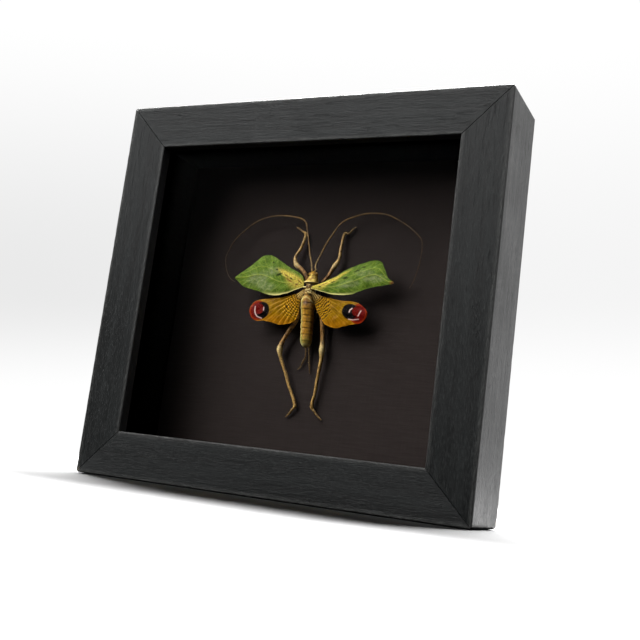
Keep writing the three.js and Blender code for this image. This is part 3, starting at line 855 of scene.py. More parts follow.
# %% Colours of the forewings
LEAF_GREENS = srgb(56, 80, 18), srgb(82, 106, 30)
YELLOWED_GREEN = srgb(118, 134, 52)
DARK_FLECK = srgb(46, 68, 16)
CELL_WALL = srgb(134, 152, 70)
GREY_BLOOM = srgb(132, 136, 104)
BASE_YELLOWS = srgb(238, 208, 92), srgb(158, 114, 44)
VEIN_GREEN = srgb(152, 160, 66)
MARGIN_CREAM = srgb(236, 222, 142)
DRY_BROWN = srgb(112, 74, 36)
SPOT_GREEN = srgb(30, 40, 12)
print("leaf green", [round(channel, 3) for channel in LEAF_GREENS[1][:3]])

# %% Forewing finish


def forewing_finish():
    leaf = Finish("forewing")
    plan = leaf.painted_place("plan")
    patch = leaf.noise(plan, 0.3, detail=5, roughness=0.65)
    blotch = leaf.noise(leaf.scaled(plan, (0.7, 1, 1)), 0.75, detail=4, roughness=0.65, distortion=0.6)
    fleck = leaf.noise(plan, 1.5, detail=4, roughness=0.75)
    net = leaf.cells(leaf.scaled(plan, (1.0, 1.25, 1.0)), 1.35)
    cell_walls = leaf.fit(net, 0.0, 0.16, 1, 0)
    bloom = leaf.times(leaf.painted("bloom"), leaf.fit(blotch, 0.38, 0.6, 0.15, 1))
    gold = leaf.times(leaf.painted("gold"), leaf.fit(blotch, 0.3, 0.7, 0.9, 0.4))
    tone = leaf.coats(
        leaf.mix(leaf.fit(patch, 0.36, 0.64), *LEAF_GREENS),
        (leaf.fit(blotch, 0.5, 0.7, 0, 0.6), YELLOWED_GREEN),
        (leaf.fit(fleck, 0.52, 0.72, 0, 0.65), DARK_FLECK),
        (leaf.times(cell_walls, 0.22), CELL_WALL),
        (leaf.times(bloom, 0.7), GREY_BLOOM),
        (gold, leaf.mix(leaf.fit(fleck, 0.42, 0.62), *BASE_YELLOWS)),
        (leaf.times(leaf.painted("vein"), 0.5), VEIN_GREEN),
        (leaf.painted("cream"), MARGIN_CREAM),
        (leaf.painted("brown"), DRY_BROWN),
        (leaf.painted("dark"), SPOT_GREEN),
    )
    height = leaf.plus(cell_walls, leaf.fit(fleck, 0.3, 0.7, 0, 0.8))
    normal = leaf.bump(height, 0.07 * MM, 0.8)
    gloss = leaf.fit(fleck, 0.3, 0.7, 0.45, 0.62)
    return leaf.surface(Base_Color=tone, Roughness=gloss, Normal=normal, Specular_IOR_Level=0.16)


FOREWING = forewing_finish()

# %% [markdown]
# The forewings
# One strong vein runs along the middle of a forewing, a second above it, and side veins slant out to both
# edges. The lower margin is pale and thick near the body, and the blade is slightly cockled from drying.
# All of that is relief, so it moves the sheet. The yellow base, the grey bloom and the flecks are only
# colour. Left and right differ on the real insect, so each has an outline and marks of its own.

# %% Veins of a forewing
# The shares across the wing that each long vein runs through, from root to tip
MIDDLE_VEIN = 0.62, 0.6, 0.56, 0.52, 0.5
SECOND_VEIN = 0.42, 0.38, 0.33, 0.27, 0.2
SIDE_VEINS, SIDE_VEIN_LEAN = 10, 0.13
SIDE_VEIN_ENDS = 0.03, 0.97
# How strong each kind of vein is, and how wide in millimetres
MIDDLE_LOOK, SECOND_LOOK, SIDE_LOOK = (1.0, 0.26), (0.8, 0.2), (0.6, 0.14)


def vein_lines(wing):
    """The veins as lines on the plan, each with a strength and a width."""
    shares = np.linspace(0, 0.985, 24)
    lines = [(wing.spot(shares, bend(MIDDLE_VEIN, shares)), *MIDDLE_LOOK)]
    for i in range(SIDE_VEINS):
        start = 0.08 + 0.8 * i / SIDE_VEINS
        end = start + SIDE_VEIN_LEAN
        for edge in SIDE_VEIN_ENDS:
            along = np.linspace(start, min(0.99, end), 9)
            across = np.interp(along, [start, end], [float(bend(MIDDLE_VEIN, start)), edge])
            across += 0.03 * np.sin(along * 40 + i * 2)
            lines.append((wing.spot(along, across), *SIDE_LOOK))
    shares = np.linspace(0.02, 0.9, 20)
    lines.append((wing.spot(shares, bend(SECOND_VEIN, shares)), *SECOND_LOOK))
    return lines


print(2 + 2 * SIDE_VEINS, "veins to a forewing")

# %% One forewing
VEIN_RELIEF, RIB_RELIEF, COCKLE_RELIEF = 0.12, 0.07, 0.32


def forewing(name, wing, **marks):
    """One forewing. The marks are ovals: centre, radii, lean and softness."""
    vein = np.zeros(wing.plan.shape[:2])
    for line, strength, width in vein_lines(wing):
        vein = np.maximum(vein, strength * near_line(wing, line, width))
    margin = bell(1 - wing.across, 0.05) * (1 - smooth_step(wing.along, 0.3, 0.62))[:, None]
    rib = bell(1 - wing.across, 0.03) + bell(wing.across, 0.03)
    cockle = wing.waves(4.0, 5) + 0.3 * wing.waves(1.6, 6)
    relief = VEIN_RELIEF * vein + RIB_RELIEF * rib
    relief = relief + COCKLE_RELIEF * cockle * smooth_step(wing.along, 0.02, 0.15)[:, None]
    painted = {"vein": vein, "cream": np.clip(margin, 0, 1)}
    painted.update({key: ovals(wing, places) for key, places in marks.items()})
    sheet(wing, name, relief, painted, FOREWING, "forewing")


print("forewings ready, cockled by", COCKLE_RELIEF, "mm")

# %% Left forewing
FOREWING_LEFT = Wing(
    upper=[
        (-2.8, 2.5), (-3.4, 5.2), (-5.4, 7.6), (-10.2, 9.9), (-15.7, 12.9), (-21.2, 15.9), (-23.7, 16.5),
        (-27.9, 15.6), (-31.4, 12.8), (-34.5, 10.1), (-37.6, 8.0), (-41.6, 5.2),
    ],
    lower=[
        (-2.7, 1.3), (-7.3, -0.5), (-12.1, -2.4), (-17.5, -3.5), (-22.6, -3.0), (-28.4, -1.5), (-33.8, -0.3),
        (-36.4, 0.5), (-39.0, 2.3), (-41.8, 4.4),
    ],
    root_depth=-2.0, tip_depth=-2.0, camber=0.9, wavy=(0.16, 0.1), seed=2,
)
forewing(
    "forewing_left", FOREWING_LEFT,
    bloom=[
        ((-28.0, 4.4), (5.6, 2.8), 10, 0.7), ((-23.0, 0.6), (4.0, 1.8), 0, 0.7),
        ((-20.0, 8.5), (3.0, 1.6), 0, 0.8),
    ],
    dark=[
        ((-16.7, 6.8), (1.6, 0.6), 20, 0.5), ((-18.2, 9.3), (0.6, 0.4), 0, 0.6),
        ((-20.9, 12.8), (0.5, 0.4), 0, 0.6), ((-9.8, 5.0), (0.8, 0.35), -30, 0.6),
    ],
    gold=[
        ((-6.6, 2.6), (5.0, 2.6), -25, 0.9), ((-9.0, 5.2), (5.2, 1.6), -30, 1.0),
        ((-14.0, 7.6), (3.4, 0.9), -28, 1.0),
    ],
    brown=[
        ((-10.6, 4.0), (2.2, 0.35), -28, 0.9), ((-6.6, 2.2), (0.9, 0.4), 30, 0.9),
        ((-5.0, 3.6), (1.3, 0.3), -40, 0.9), ((-12.6, 6.4), (1.4, 0.3), -30, 0.9),
    ],
)

# %% Right forewing
FOREWING_RIGHT = Wing(
    upper=[
        (1.9, 1.5), (5.7, 2.8), (10.3, 4.9), (14.1, 6.9), (18.4, 9.7), (23.9, 12.3), (29.9, 14.3),
        (33.2, 14.9), (36.1, 14.1), (37.5, 11.8), (39.0, 9.1), (40.4, 6.5), (43.2, 4.9),
    ],
    lower=[
        (1.9, 0.3), (6.8, -0.7), (11.8, -1.9), (16.5, -2.2), (21.7, -1.8), (26.1, -0.3), (30.4, 1.3),
        (34.8, 2.5), (39.7, 3.4), (43.1, 4.1),
    ],
    root_depth=-2.5, tip_depth=-1.8, camber=0.7, wavy=(0.12, 0.18), seed=9,
)
forewing(
    "forewing_right", FOREWING_RIGHT,
    bloom=[
        ((33.4, 6.1), (4.8, 1.6), 4, 0.7), ((21.0, 3.0), (4.6, 1.4), 10, 0.9),
        ((28.0, 8.6), (3.6, 1.2), 8, 0.9),
    ],
    dark=[
        ((18.9, 6.0), (1.4, 0.5), 14, 0.5), ((27.6, 11.5), (1.0, 0.4), 10, 0.6),
        ((24.4, 9.6), (1.6, 0.3), 22, 0.9), ((6.2, 1.4), (0.7, 0.3), 0, 0.7),
        ((12.8, 3.8), (1.0, 0.3), 20, 0.7),
    ],
    gold=[
        ((4.6, 1.2), (4.4, 1.7), 10, 0.6), ((10.0, 3.4), (4.6, 1.0), 22, 0.8),
        ((14.6, 6.2), (6.0, 0.6), 30, 0.8),
    ],
    brown=[((43.0, 4.4), (1.7, 0.9), 0, 0.6), ((8.2, 2.6), (1.6, 0.25), 22, 0.9)],
)

# %% [markdown]
# The hindwings' finish
# The hindwings are thin, dry and ochre, with rust along the lower edge. As on the forewings, the finish
# lays coats over each other: a cloudy ochre first, then what the mesh carries, from the folds at the root
# to the eyespot on top. The root folds are straw, pale on their raised crests and brown between them:
# partly the wing's colour, and partly painted highlight and painted shade. The red disc is grained,
# because it is scaly and not smooth.

# %% Colours of the hindwings
OCHRES = srgb(100, 71, 1), srgb(134, 98, 2)
OCHRE_GRIT = srgb(84, 50, 1)
RUST = srgb(168, 98, 6)
# Root-fold straws: the pale is partly a painted highlight on the crests, the brown partly painted shade
FOLD_STRAW_AND_SHADING = srgb(88, 62, 26), srgb(204, 174, 110)
RIDGE_GOLD = srgb(196, 152, 40)
GAP_GOLD = srgb(178, 130, 24)
BAR_BROWN = srgb(38, 20, 2)
RIM_AMBER = srgb(196, 132, 36)
DISC_REDS = srgb(58, 5, 3), srgb(106, 17, 9)
EMBER_RED = srgb(130, 42, 13)
PATCH_BLACK = srgb(8, 4, 5)
STREAK_PINK = srgb(238, 202, 196)
print("ochre", [round(channel, 3) for channel in OCHRES[1][:3]])

# %% Hindwing finish


def hindwing_finish():
    fan = Finish("hindwing")
    plan = fan.painted_place("plan")
    cloud = fan.noise(plan, 0.3, detail=4, roughness=0.6)
    grit = fan.noise(plan, 1.6, detail=4, roughness=0.7)
    rust = fan.times(fan.painted("rust"), fan.fit(cloud, 0.3, 0.7, 0.5, 1))
    tone = fan.coats(
        fan.mix(fan.fit(cloud, 0.36, 0.64), *OCHRES),
        (fan.fit(grit, 0.52, 0.72, 0, 0.5), OCHRE_GRIT),
        (fan.times(rust, 0.5), RUST),
        # Root folds: pale on the raised crests, brown between them, partly painted highlight and painted
        # shade
        (fan.painted("straw"), fan.mix(fan.painted("fold"), *FOLD_STRAW_AND_SHADING)),
        (fan.times(fan.painted("ridge"), 0.16), RIDGE_GOLD),
        (fan.painted("glow"), GAP_GOLD),
        (fan.painted("bar"), BAR_BROWN),
        (fan.painted("rim"), RIM_AMBER),
        (fan.painted("red"), fan.mix(fan.fit(grit, 0.35, 0.65), *DISC_REDS)),
        (fan.painted("ember"), EMBER_RED),
        (fan.painted("black"), PATCH_BLACK),
        (fan.painted("pale"), STREAK_PINK),
    )
    normal = fan.bump(fan.plus(grit, fan.painted("ridge")), 0.07 * MM, 0.7)
    gloss = fan.fit(grit, 0.3, 0.7, 0.46, 0.64)
    return fan.surface(Base_Color=tone, Roughness=gloss, Normal=normal, Specular_IOR_Level=0.12)


HINDWING = hindwing_finish()

# %% [markdown]
# The hindwings
# A hindwing is pleated like a fan. The folds run out from the root as straight rays, so each point's
# angle round the root says which fold it is on, and no fold has to be drawn. Near the body short brown
# cross veins make a net of wavy bars: a wave by the distance from the root, shaken a little by noise.
# Each wing ends in an eyespot, a red disc with a black patch that a round bite is taken out of, and pale
# streaks. The disc, patch and bite are ovals laid over one another.

# %% Folds and bars
RAYS = 26
BAR_SPACING = 1.2
# Distances from the root in millimetres: where the bars begin, and where they end at the top and lower down
BARS_BEGIN = 4.5, 6.5
BARS_END_HIGH, BARS_END_LOW = 9.5, 16.0


def fan_places(wing, root, side):
    """How far every point is from the root, its angle below the horizontal, and which ray it is near."""
    away = wing.plan - np.array(root)
    angle = np.arctan2(-away[..., 1], side * away[..., 0])
    return np.hypot(away[..., 0], away[..., 1]), angle, angle / (math.pi / 2) * RAYS


def bar_net(reach, angle, pleat, drift, ripple):
    """How dark the net of bars is, and the zone that it fills."""
    bars = np.sin((reach + 0.12 * pleat + 0.8 * drift + 0.35 * ripple) * 2 * math.pi / BAR_SPACING)
    limit = BARS_END_HIGH + (BARS_END_LOW - BARS_END_HIGH) * smooth_step(angle, 0.3, 0.9)
    zone = smooth_step(reach, *BARS_BEGIN) * (1 - smooth_step(reach + 1.5 * drift - limit, -1.0, 2.5))
    return smooth_step(bars, -0.25, 0.4) * zone, zone


print(RAYS, "rays to a quarter turn")

# %% Eyespots
EMBER_WIDTH, EMBER_STRENGTH = 0.9, 0.8


def eyespot(wing, disc, patch, bite, streaks):
    """How much of each of its colours every point has."""
    red = oval(wing, *disc)
    centre, radii = disc[:2]
    inner = oval(wing, centre, [radius - EMBER_WIDTH for radius in radii], 0, 0.12)
    pale = np.zeros(red.shape)
    for line, width, strength in streaks:
        pale = np.maximum(pale, strength * near_line(wing, np.array(line, float), width))
    return {
        "red": red,
        "ember": EMBER_STRENGTH * red * (1 - inner),
        "black": oval(wing, *patch) * (1 - oval(wing, *bite)),
        "pale": pale,
    }


print("eyespots ready, ember rim", EMBER_WIDTH, "mm wide")

# %% One hindwing
PLEAT_DEPTH, BAR_DEPTH, CURL_DEPTH, ROOT_FOLD_DEPTH = 0.34, 0.1, 0.3, 0.22
ROOT_FOLDS_PER_RAY = 0.31
STRAW_ENDS = 4.5, 8.5


def hindwing(name, wing, root, side, bar_strength, spot):
    """One hindwing. The side is -1 for the left and 1 for the right."""
    reach, angle, ray = fan_places(wing, root, side)
    pleat = np.abs((ray % 2) - 1) * 2 - 1
    ridge = bell((ray % 1) - 0.5, 0.16) * smooth_step(reach, 1.5, 6)
    drift, ripple = wing.waves(2.6, 7), wing.waves(1.1, 8)
    net, zone = bar_net(reach, angle, pleat, drift, ripple)
    straw = 1 - smooth_step(reach, *STRAW_ENDS)
    # 1 on the crests of the root folds, 0 between them; it raises the crests and paints them pale, partly as
    # painted highlight
    fold = 0.5 + 0.5 * np.cos(ray * 2 * math.pi * ROOT_FOLDS_PER_RAY + 1.2 * drift)
    fade = smooth_step(reach, 1, 9) * (1 - 0.7 * smooth_step(reach, 13, 22))
    relief = PLEAT_DEPTH / 2 * pleat * fade - BAR_DEPTH * net
    relief = relief + CURL_DEPTH * drift * smooth_step(reach, 8, 16) + ROOT_FOLD_DEPTH * fold * straw
    edge = np.clip(bell(1 - wing.across, 0.022) + bell(wing.across, 0.012), 0, 1)
    painted = {
        "ridge": ridge,
        "bar": net * bar_strength,
        "glow": 0.8 * zone * (1 - straw),
        "straw": 0.92 * straw,
        "fold": fold,
        "rust": smooth_step(-wing.plan[..., 1], 10.5, 16.5) * smooth_step(reach, 9, 15),
        "rim": 0.7 * edge * smooth_step(reach, 5, 9) * (1 - spot["red"]),
        **spot,
    }
    sheet(wing, name, relief, painted, HINDWING, "hindwing")


print("hindwings ready, pleats", PLEAT_DEPTH, "mm deep")

# %% Left hindwing
HINDWING_LEFT = Wing(
    upper=[
        (-2.2, 0.2), (-5.6, -1.4), (-9.1, -2.6), (-15.0, -4.1), (-21.2, -5.0), (-26.7, -5.7), (-29.7, -6.9),
        (-31.5, -9.2), (-31.8, -11.2),
    ],
    lower=[
        (-2.4, -1.8), (-4.2, -5.6), (-4.7, -12.6), (-6.0, -15.1), (-9.4, -16.9), (-14.2, -17.5),
        (-19.4, -16.5), (-23.2, -16.0), (-27.6, -16.1), (-30.0, -14.8), (-31.6, -12.4),
    ],
    root_depth=-0.5, tip_depth=-0.6, camber=0.6, wavy=(0.06, 0.3), seed=4, root_lift=1.4,
)
LEFT_SPOT = eyespot(
    HINDWING_LEFT,
    disc=((-27.1, -11.1), (4.6, 4.9), 0, 0.06),
    patch=((-24.6, -11.0), (4.2, 4.2), 0, 0.06),
    bite=((-26.8, -10.3), (3.2, 2.7), 0, 0.08),
    streaks=[
        ([(-28.6, -9.3), (-28.6, -11.2), (-28.0, -12.9), (-26.8, -14.2), (-24.4, -14.9)], 0.22, 0.85),
        ([(-23.7, -9.5), (-23.6, -10.9)], 0.24, 0.8),
    ],
)
hindwing("hindwing_left", HINDWING_LEFT, (-1.5, 0.5), -1, bar_strength=0.85, spot=LEFT_SPOT)

# %% Right hindwing
HINDWING_RIGHT = Wing(
    upper=[
        (1.8, -0.6), (4.4, -2.0), (7.0, -2.8), (11.4, -3.7), (17.4, -4.6), (23.2, -4.9), (26.8, -5.8),
        (29.9, -7.9), (31.3, -9.6),
    ],
    lower=[
        (1.8, -2.4), (3.3, -5.4), (5.2, -9.7), (7.5, -13.1), (9.6, -15.7), (12.1, -17.2), (15.7, -17.8),
        (19.1, -17.1), (23.5, -15.9), (28.5, -14.8), (30.8, -12.6), (31.4, -10.8),
    ],
    root_depth=-0.5, tip_depth=-0.6, camber=0.6, wavy=(0.06, 0.3), seed=12, root_lift=1.4,
)
RIGHT_SPOT = eyespot(
    HINDWING_RIGHT,
    disc=((27.0, -10.6), (4.4, 4.8), 0, 0.06),
    patch=((22.7, -9.7), (4.2, 3.7), -20, 0.06),
    bite=((26.3, -9.5), (2.5, 2.3), 0, 0.1),
    streaks=[
        ([(23.5, -8.2), (22.6, -9.0), (22.4, -10.0)], 0.26, 0.8),
        ([(28.2, -9.2), (27.0, -11.6)], 0.24, 0.8),
        ([(22.3, -13.3), (24.6, -13.6), (27.4, -13.1)], 0.18, 0.75),
    ],
)
hindwing("hindwing_right", HINDWING_RIGHT, (1.2, 0.3), 1, bar_strength=1.0, spot=RIGHT_SPOT)

# %% [markdown]
# The limbs' finish
# Legs and antennae are dry, brown to straw, and speckled. The colour changes along a leg and not round
# it, so it can't come from noise alone. Each ring of the mesh carries how russet, pale or dusky it is,
# and the finish adds a fine mottle and specks over that. The dusk makes feet and antenna tips darker,
# and over the whole of each mid leg it is painted shade, for the shadow that the mid legs lie in behind
# the hindwings. Noise in millimetres keeps the specks the same size on every leg.

# %% Colours of the limbs
STRAWS = srgb(98, 70, 34), srgb(180, 144, 84)
RUSSETS = srgb(58, 32, 16), srgb(136, 94, 52)
KNEE_PALE = srgb(232, 208, 146)
# Darkens feet and antenna tips, and as painted shade the whole mid legs
DUSK_AND_SHADE_BROWN = srgb(46, 32, 18)
SPECK_BROWN = srgb(52, 34, 16)
print("straw", [round(channel, 3) for channel in STRAWS[1][:3]])

# %% Limb finish


def limb_finish():
    limb = Finish("insect_limb")
    place = limb.place_mm()
    mottle = limb.noise(place, 0.7, detail=4, roughness=0.7)
    speck = limb.noise(place, 1.5, detail=4, roughness=0.6)
    tone = limb.coats(
        limb.mix(limb.fit(mottle, 0.36, 0.62), *STRAWS),
        (limb.painted("russet"), limb.mix(limb.fit(mottle, 0.4, 0.6), *RUSSETS)),
        (limb.painted("pale"), KNEE_PALE),
        # Darker feet and antenna tips, and painted shade over the whole mid legs
        (limb.painted("dusk_and_shade"), DUSK_AND_SHADE_BROWN),
        (limb.fit(speck, 0.54, 0.66, 0, 0.75), SPECK_BROWN),
    )
    normal = limb.bump(speck, 0.12 * MM, 0.8)
    gloss = limb.fit(mottle, 0.3, 0.7, 0.3, 0.5)
    return limb.surface(Base_Color=tone, Roughness=gloss, Normal=normal, Specular_IOR_Level=0.5)


LIMB = limb_finish()

# %% [markdown]
# Limbs as tubes
# A leg is a tube of changing thickness. A curve with a bevel would make one too, but its thickness is
# awkward to steer and it ends as one smooth hose. Here a ring is carried along the curve, and each ring
# knows which of the listed rows it has passed, so a knee, an ankle or a colour can be put at a row.
# Thorns are small tubes that narrow to a point.

# %% Tubes and thorns
TUBE_SIDES = 14
TOWARDS_BOARD = np.array((0.0, 1.0, 0.0))
THORN_RADIUS, THORN_POINT = 0.12, 0.02
THORN_FOOT, THORN_SLANT = 0.3, 0.7


def tube(rows, sides=TUBE_SIDES, steps=9, swell=None):
    """Rings round a curve through rows of x, depth, height and radius, and the rows passed at each ring."""
    rows = np.array(rows, float)
    centres, passed = curve_through(rows[:, :3], steps * (len(rows) - 1) + 1, even=False)
    radii = np.interp(passed, np.arange(len(rows)), rows[:, 3])
    if swell is not None:
        radii = radii * swell(passed)
    ways = np.gradient(centres, axis=0)
    ways /= np.linalg.norm(ways, axis=1)[:, None]
    across = np.cross(ways, TOWARDS_BOARD)
    across /= np.linalg.norm(across, axis=1)[:, None]
    angles = np.linspace(0, 2 * math.pi, sides, endpoint=False)
    ring = across[:, None] * np.cos(angles)[None, :, None] + TOWARDS_BOARD * np.sin(angles)[None, :, None]
    return centres[:, None] + ring * radii[:, None, None], passed


def thorn(start, way, length):
    """A small spike that narrows to a point."""
    rows = []
    for share in (0, 0.35, 0.7, 1):
        rows.append((*(start + unit(way) * length * share), THORN_RADIUS * (1 - share) + THORN_POINT))
    return skin(tube(rows, sides=6, steps=1)[0])


def thorns(middle, passed, first, last, count, length):
    """Thorns on alternate sides of a limb, between two rows."""
    made = []
    for i, row in enumerate(np.linspace(first, last, count)):
        at = int(np.argmin(np.abs(passed - row)))
        along = unit(middle[min(at + 1, len(middle) - 1)] - middle[at])
        out = np.cross(along, TOWARDS_BOARD) * (1 if i % 2 else -1)
        made.append(thorn(middle[at] + out * THORN_FOOT, out + along * THORN_SLANT, length))
    return made


print("tubes ready")

# %% Courses of the fore and mid legs
# Rows of x, depth, height and radius, from the body outwards
LIMBS = {
    "foreleg_left": [
        (-3.3, 1.9, 5.4, 0.7), (-4.4, 2.0, 7.8, 0.85), (-8.0, 2.4, 11.4, 0.8), (-10.7, 2.7, 13.0, 1.0),
        (-12.1, 3.0, 16.1, 0.75), (-12.0, 3.3, 18.0, 0.65), (-10.4, 3.8, 21.3, 0.65), (-9.3, 4.1, 24.8, 0.62),
        (-8.9, 4.5, 29.3, 0.68), (-11.2, 4.8, 31.0, 0.45), (-13.2, 5.1, 32.3, 0.4), (-14.7, 5.3, 32.9, 0.25),
    ],
    "foreleg_right": [
        (4.6, 2.1, 4.6, 0.7), (7.6, 2.3, 7.9, 0.85), (8.7, 2.6, 10.7, 0.8), (10.1, 3.0, 13.2, 1.0),
        (11.6, 3.4, 16.8, 0.75), (11.6, 3.8, 21.5, 0.65), (11.7, 4.2, 25.2, 0.62), (12.4, 4.6, 29.6, 0.68),
        (14.4, 4.8, 29.8, 0.45), (15.8, 5.1, 31.6, 0.4), (17.4, 5.3, 33.1, 0.25),
    ],
    "midleg_left": [
        (-2.7, 3.4, 0, 0.6), (-3.3, 4.6, -3, 0.6), (-2.6, 5.0, -9, 0.55), (-1.6, 5.0, -17, 0.5),
        (-0.9, 5.0, -24, 0.42), (-0.8, 5.1, -28.6, 0.38), (-0.6, 5.2, -31.5, 0.34), (-1.9, 5.3, -34.6, 0.3),
        (-2.8, 5.4, -37.0, 0.3), (-4.1, 5.4, -38.1, 0.2),
    ],
    "midleg_right": [
        (2.9, 3.4, 0, 0.6), (3.5, 4.6, -3, 0.6), (2.9, 5.0, -8, 0.55), (2.2, 5.0, -11.5, 0.6),
        (1.2, 5.0, -17, 0.48), (0.9, 5.0, -24, 0.42), (1.1, 5.1, -29.5, 0.36), (2.1, 5.3, -36.2, 0.3),
        (2.6, 5.4, -39.6, 0.2),
    ],
}
print("foreleg of", len(LIMBS["foreleg_left"]), "rows, midleg of", len(LIMBS["midleg_left"]))

# %% Courses of the hind legs
LIMBS["hindleg_left"] = [
    (-4.9, 2.7, -4.6, 1.05), (-6.8, 2.5, -14.6, 1.0), (-9.9, 2.6, -19.7, 0.88), (-12.1, 2.8, -23.7, 0.88),
    (-13.4, 3.0, -26.7, 1.05), (-14.0, 3.2, -29.2, 1.15), (-13.1, 3.4, -33.0, 0.74),
    (-11.0, 3.7, -37.4, 0.66), (-9.1, 4.0, -41.3, 0.66), (-7.2, 4.2, -46.0, 0.64), (-5.1, 4.5, -49.9, 0.62),
    (-2.7, 4.8, -55.9, 0.7), (-4.1, 5.0, -57.7, 0.5), (-5.5, 5.2, -59.8, 0.45), (-7.2, 5.4, -61.3, 0.25),
]
LIMBS["hindleg_right"] = [
    (4.6, 2.7, -4.6, 1.05), (7.5, 2.5, -15.9, 1.0), (8.1, 2.6, -20.2, 0.88), (8.7, 2.8, -24.3, 0.95),
    (8.8, 3.0, -28.3, 1.15), (8.8, 3.4, -32.1, 0.78), (8.2, 3.7, -38.1, 0.68), (7.7, 4.0, -43.3, 0.66),
    (7.3, 4.3, -48.9, 0.64), (6.4, 4.8, -55.6, 0.7), (7.9, 5.0, -57.4, 0.5), (9.8, 5.2, -59.4, 0.45),
    (11.8, 5.4, -61.1, 0.25),
]
print("hind leg of", len(LIMBS["hindleg_left"]), "rows")

# %% Courses of the antennae
LIMBS["antenna_left"] = [
    (-0.8, 0.4, 10.0, 0.42), (-1.5, 0.4, 13.6, 0.34), (-3.1, 0.5, 18.2, 0.33), (-4.4, 0.6, 23.3, 0.32),
    (-6.2, 0.7, 29.8, 0.31), (-7.8, 0.8, 34.3, 0.3), (-10.1, 0.9, 36.0, 0.3), (-17.8, 1.1, 37.6, 0.28),
    (-24.6, 1.2, 37.8, 0.27), (-31.5, 1.3, 36.6, 0.25), (-37.4, 1.4, 33.9, 0.23), (-43.0, 1.5, 29.5, 0.21),
    (-47.4, 1.6, 25.1, 0.2), (-49.8, 1.7, 20.6, 0.18), (-51.4, 1.8, 15.8, 0.17), (-49.9, 1.9, 9.4, 0.16),
    (-47.0, 2.0, 5.1, 0.15), (-44.4, 2.0, 3.6, 0.13),
]
LIMBS["antenna_right"] = [
    (1.5, 0.4, 10.1, 0.42), (0.8, 0.5, 12.4, 0.36), (1.9, 0.7, 16.0, 0.34), (3.6, 0.9, 20.4, 0.33),
    (5.6, 1.1, 25.1, 0.32), (8.0, 1.3, 29.3, 0.31), (10.6, 1.5, 33.4, 0.31), (13.7, 1.7, 35.8, 0.3),
    (18.8, 1.9, 37.7, 0.29), (23.1, 2.1, 38.9, 0.28), (28.6, 2.3, 39.1, 0.27), (34.2, 2.5, 38.5, 0.26),
    (39.9, 2.7, 36.1, 0.24), (45.6, 2.9, 32.8, 0.22), (50.5, 3.1, 28.8, 0.2), (52.7, 3.3, 26.0, 0.19),
    (53.1, 3.5, 19.4, 0.17), (52.2, 3.7, 12.9, 0.16), (50.6, 3.9, 7.0, 0.14), (49.0, 4.0, 3.4, 0.12),
]
print("antenna of", len(LIMBS["antenna_left"]), "rows")

# %% [markdown]
# The legs
# A leg has the joints of the real one: a strong femur, a swollen knee, a slimmer tibia with two rows of
# thorns, and a foot of small segments. The knee and the ankle are rows of its course, and everything else
# is placed from those two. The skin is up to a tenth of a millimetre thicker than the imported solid, and a
# little more on the hind legs, because the photograph shows them stouter.

# %% Legs
# The row of the knee and of the ankle
JOINTS = {
    "foreleg_left": (3, 8), "foreleg_right": (3, 7), "midleg_left": (3, 7), "midleg_right": (3, 7),
    "hindleg_left": (5, 11), "hindleg_right": (4, 9),
}
# Tones of the femur, knee, whole leg and foot, how much the leg is thickened, and its thorns.
# The whole-leg tone of the mid legs is painted shade.
LOOKS = "russet", "pale", "dusk_and_shade", "foot_dusk", "bulk", "thorns", "thorn_length"
LEG_LOOKS = {
    "hindleg": (0.7, 0.6, 0.0, 0.5, 0.16, 12, 0.75),
    "foreleg": (0.8, 0.3, 0.0, 0.5, 0.1, 7, 0.6),
    # Painted shade: the mid legs are darkened over their whole length
    "midleg": (0.6, 0.3, 0.8, 0.0, 0.1, 7, 0.6),
}
FOOT_SEGMENTS = 3
THORN_TONE = 0.3


def leg(name):
    knee, ankle = JOINTS[name]
    look = dict(zip(LOOKS, LEG_LOOKS[name.split("_")[0]]))
    # Each is a row, how many rows it reaches, and how much it thickens the leg there
    knots = [((knee + ankle) / 2, 9, look["bulk"]), (knee - 0.05, 0.7, 0.16), (ankle, 0.2, 0.12)]
    knots += [(ankle + 0.55 + 0.8 * i, 0.16, -0.25) for i in range(FOOT_SEGMENTS)]

    def swell(passed):
        return 1 + sum(size * bell(passed - row, reach) for row, reach, size in knots)

    rings, passed = tube(LIMBS[name], swell=swell)
    spikes = thorns(rings.mean(1), passed, knee + 0.6, ankle - 0.3, look["thorns"], look["thorn_length"])
    vertices, faces = joined([skin(rings), *spikes])
    tones = {
        "russet": look["russet"] * (1 - smooth_step(passed, knee - 0.9, knee - 0.1)),
        "pale": look["pale"] * bell(passed - knee + 0.1, 0.7),
        "dusk_and_shade": look["dusk_and_shade"] + look["foot_dusk"] * smooth_step(passed, ankle + 0.3, ankle + 1),
    }
    rest = np.repeat(THORN_TONE, len(vertices) - len(passed) * TUBE_SIDES)
    painted = {key: np.concatenate([np.repeat(values, TUBE_SIDES), rest]) for key, values in tones.items()}
    piece(name, (vertices + INSECT, faces), LIMB, [name], painted, sharp_angle=50)


for name in JOINTS:
    leg(name)

# %% [markdown]
# The antennae
# An antenna is a thread of very many short rings, thinner than a hair at its end. Modelling each ring
# would take a great many faces that nobody sees, so the thread swells and narrows in a wave along its
# length, and gets duskier towards its tip.

# %% Antennae
THREAD_SIDES, THREAD_STEPS = 8, 24
THREAD_RINGS, RING_SWELL = 30, 0.1


def ringed(passed):
    return 1 + RING_SWELL * np.sin(passed * THREAD_RINGS)


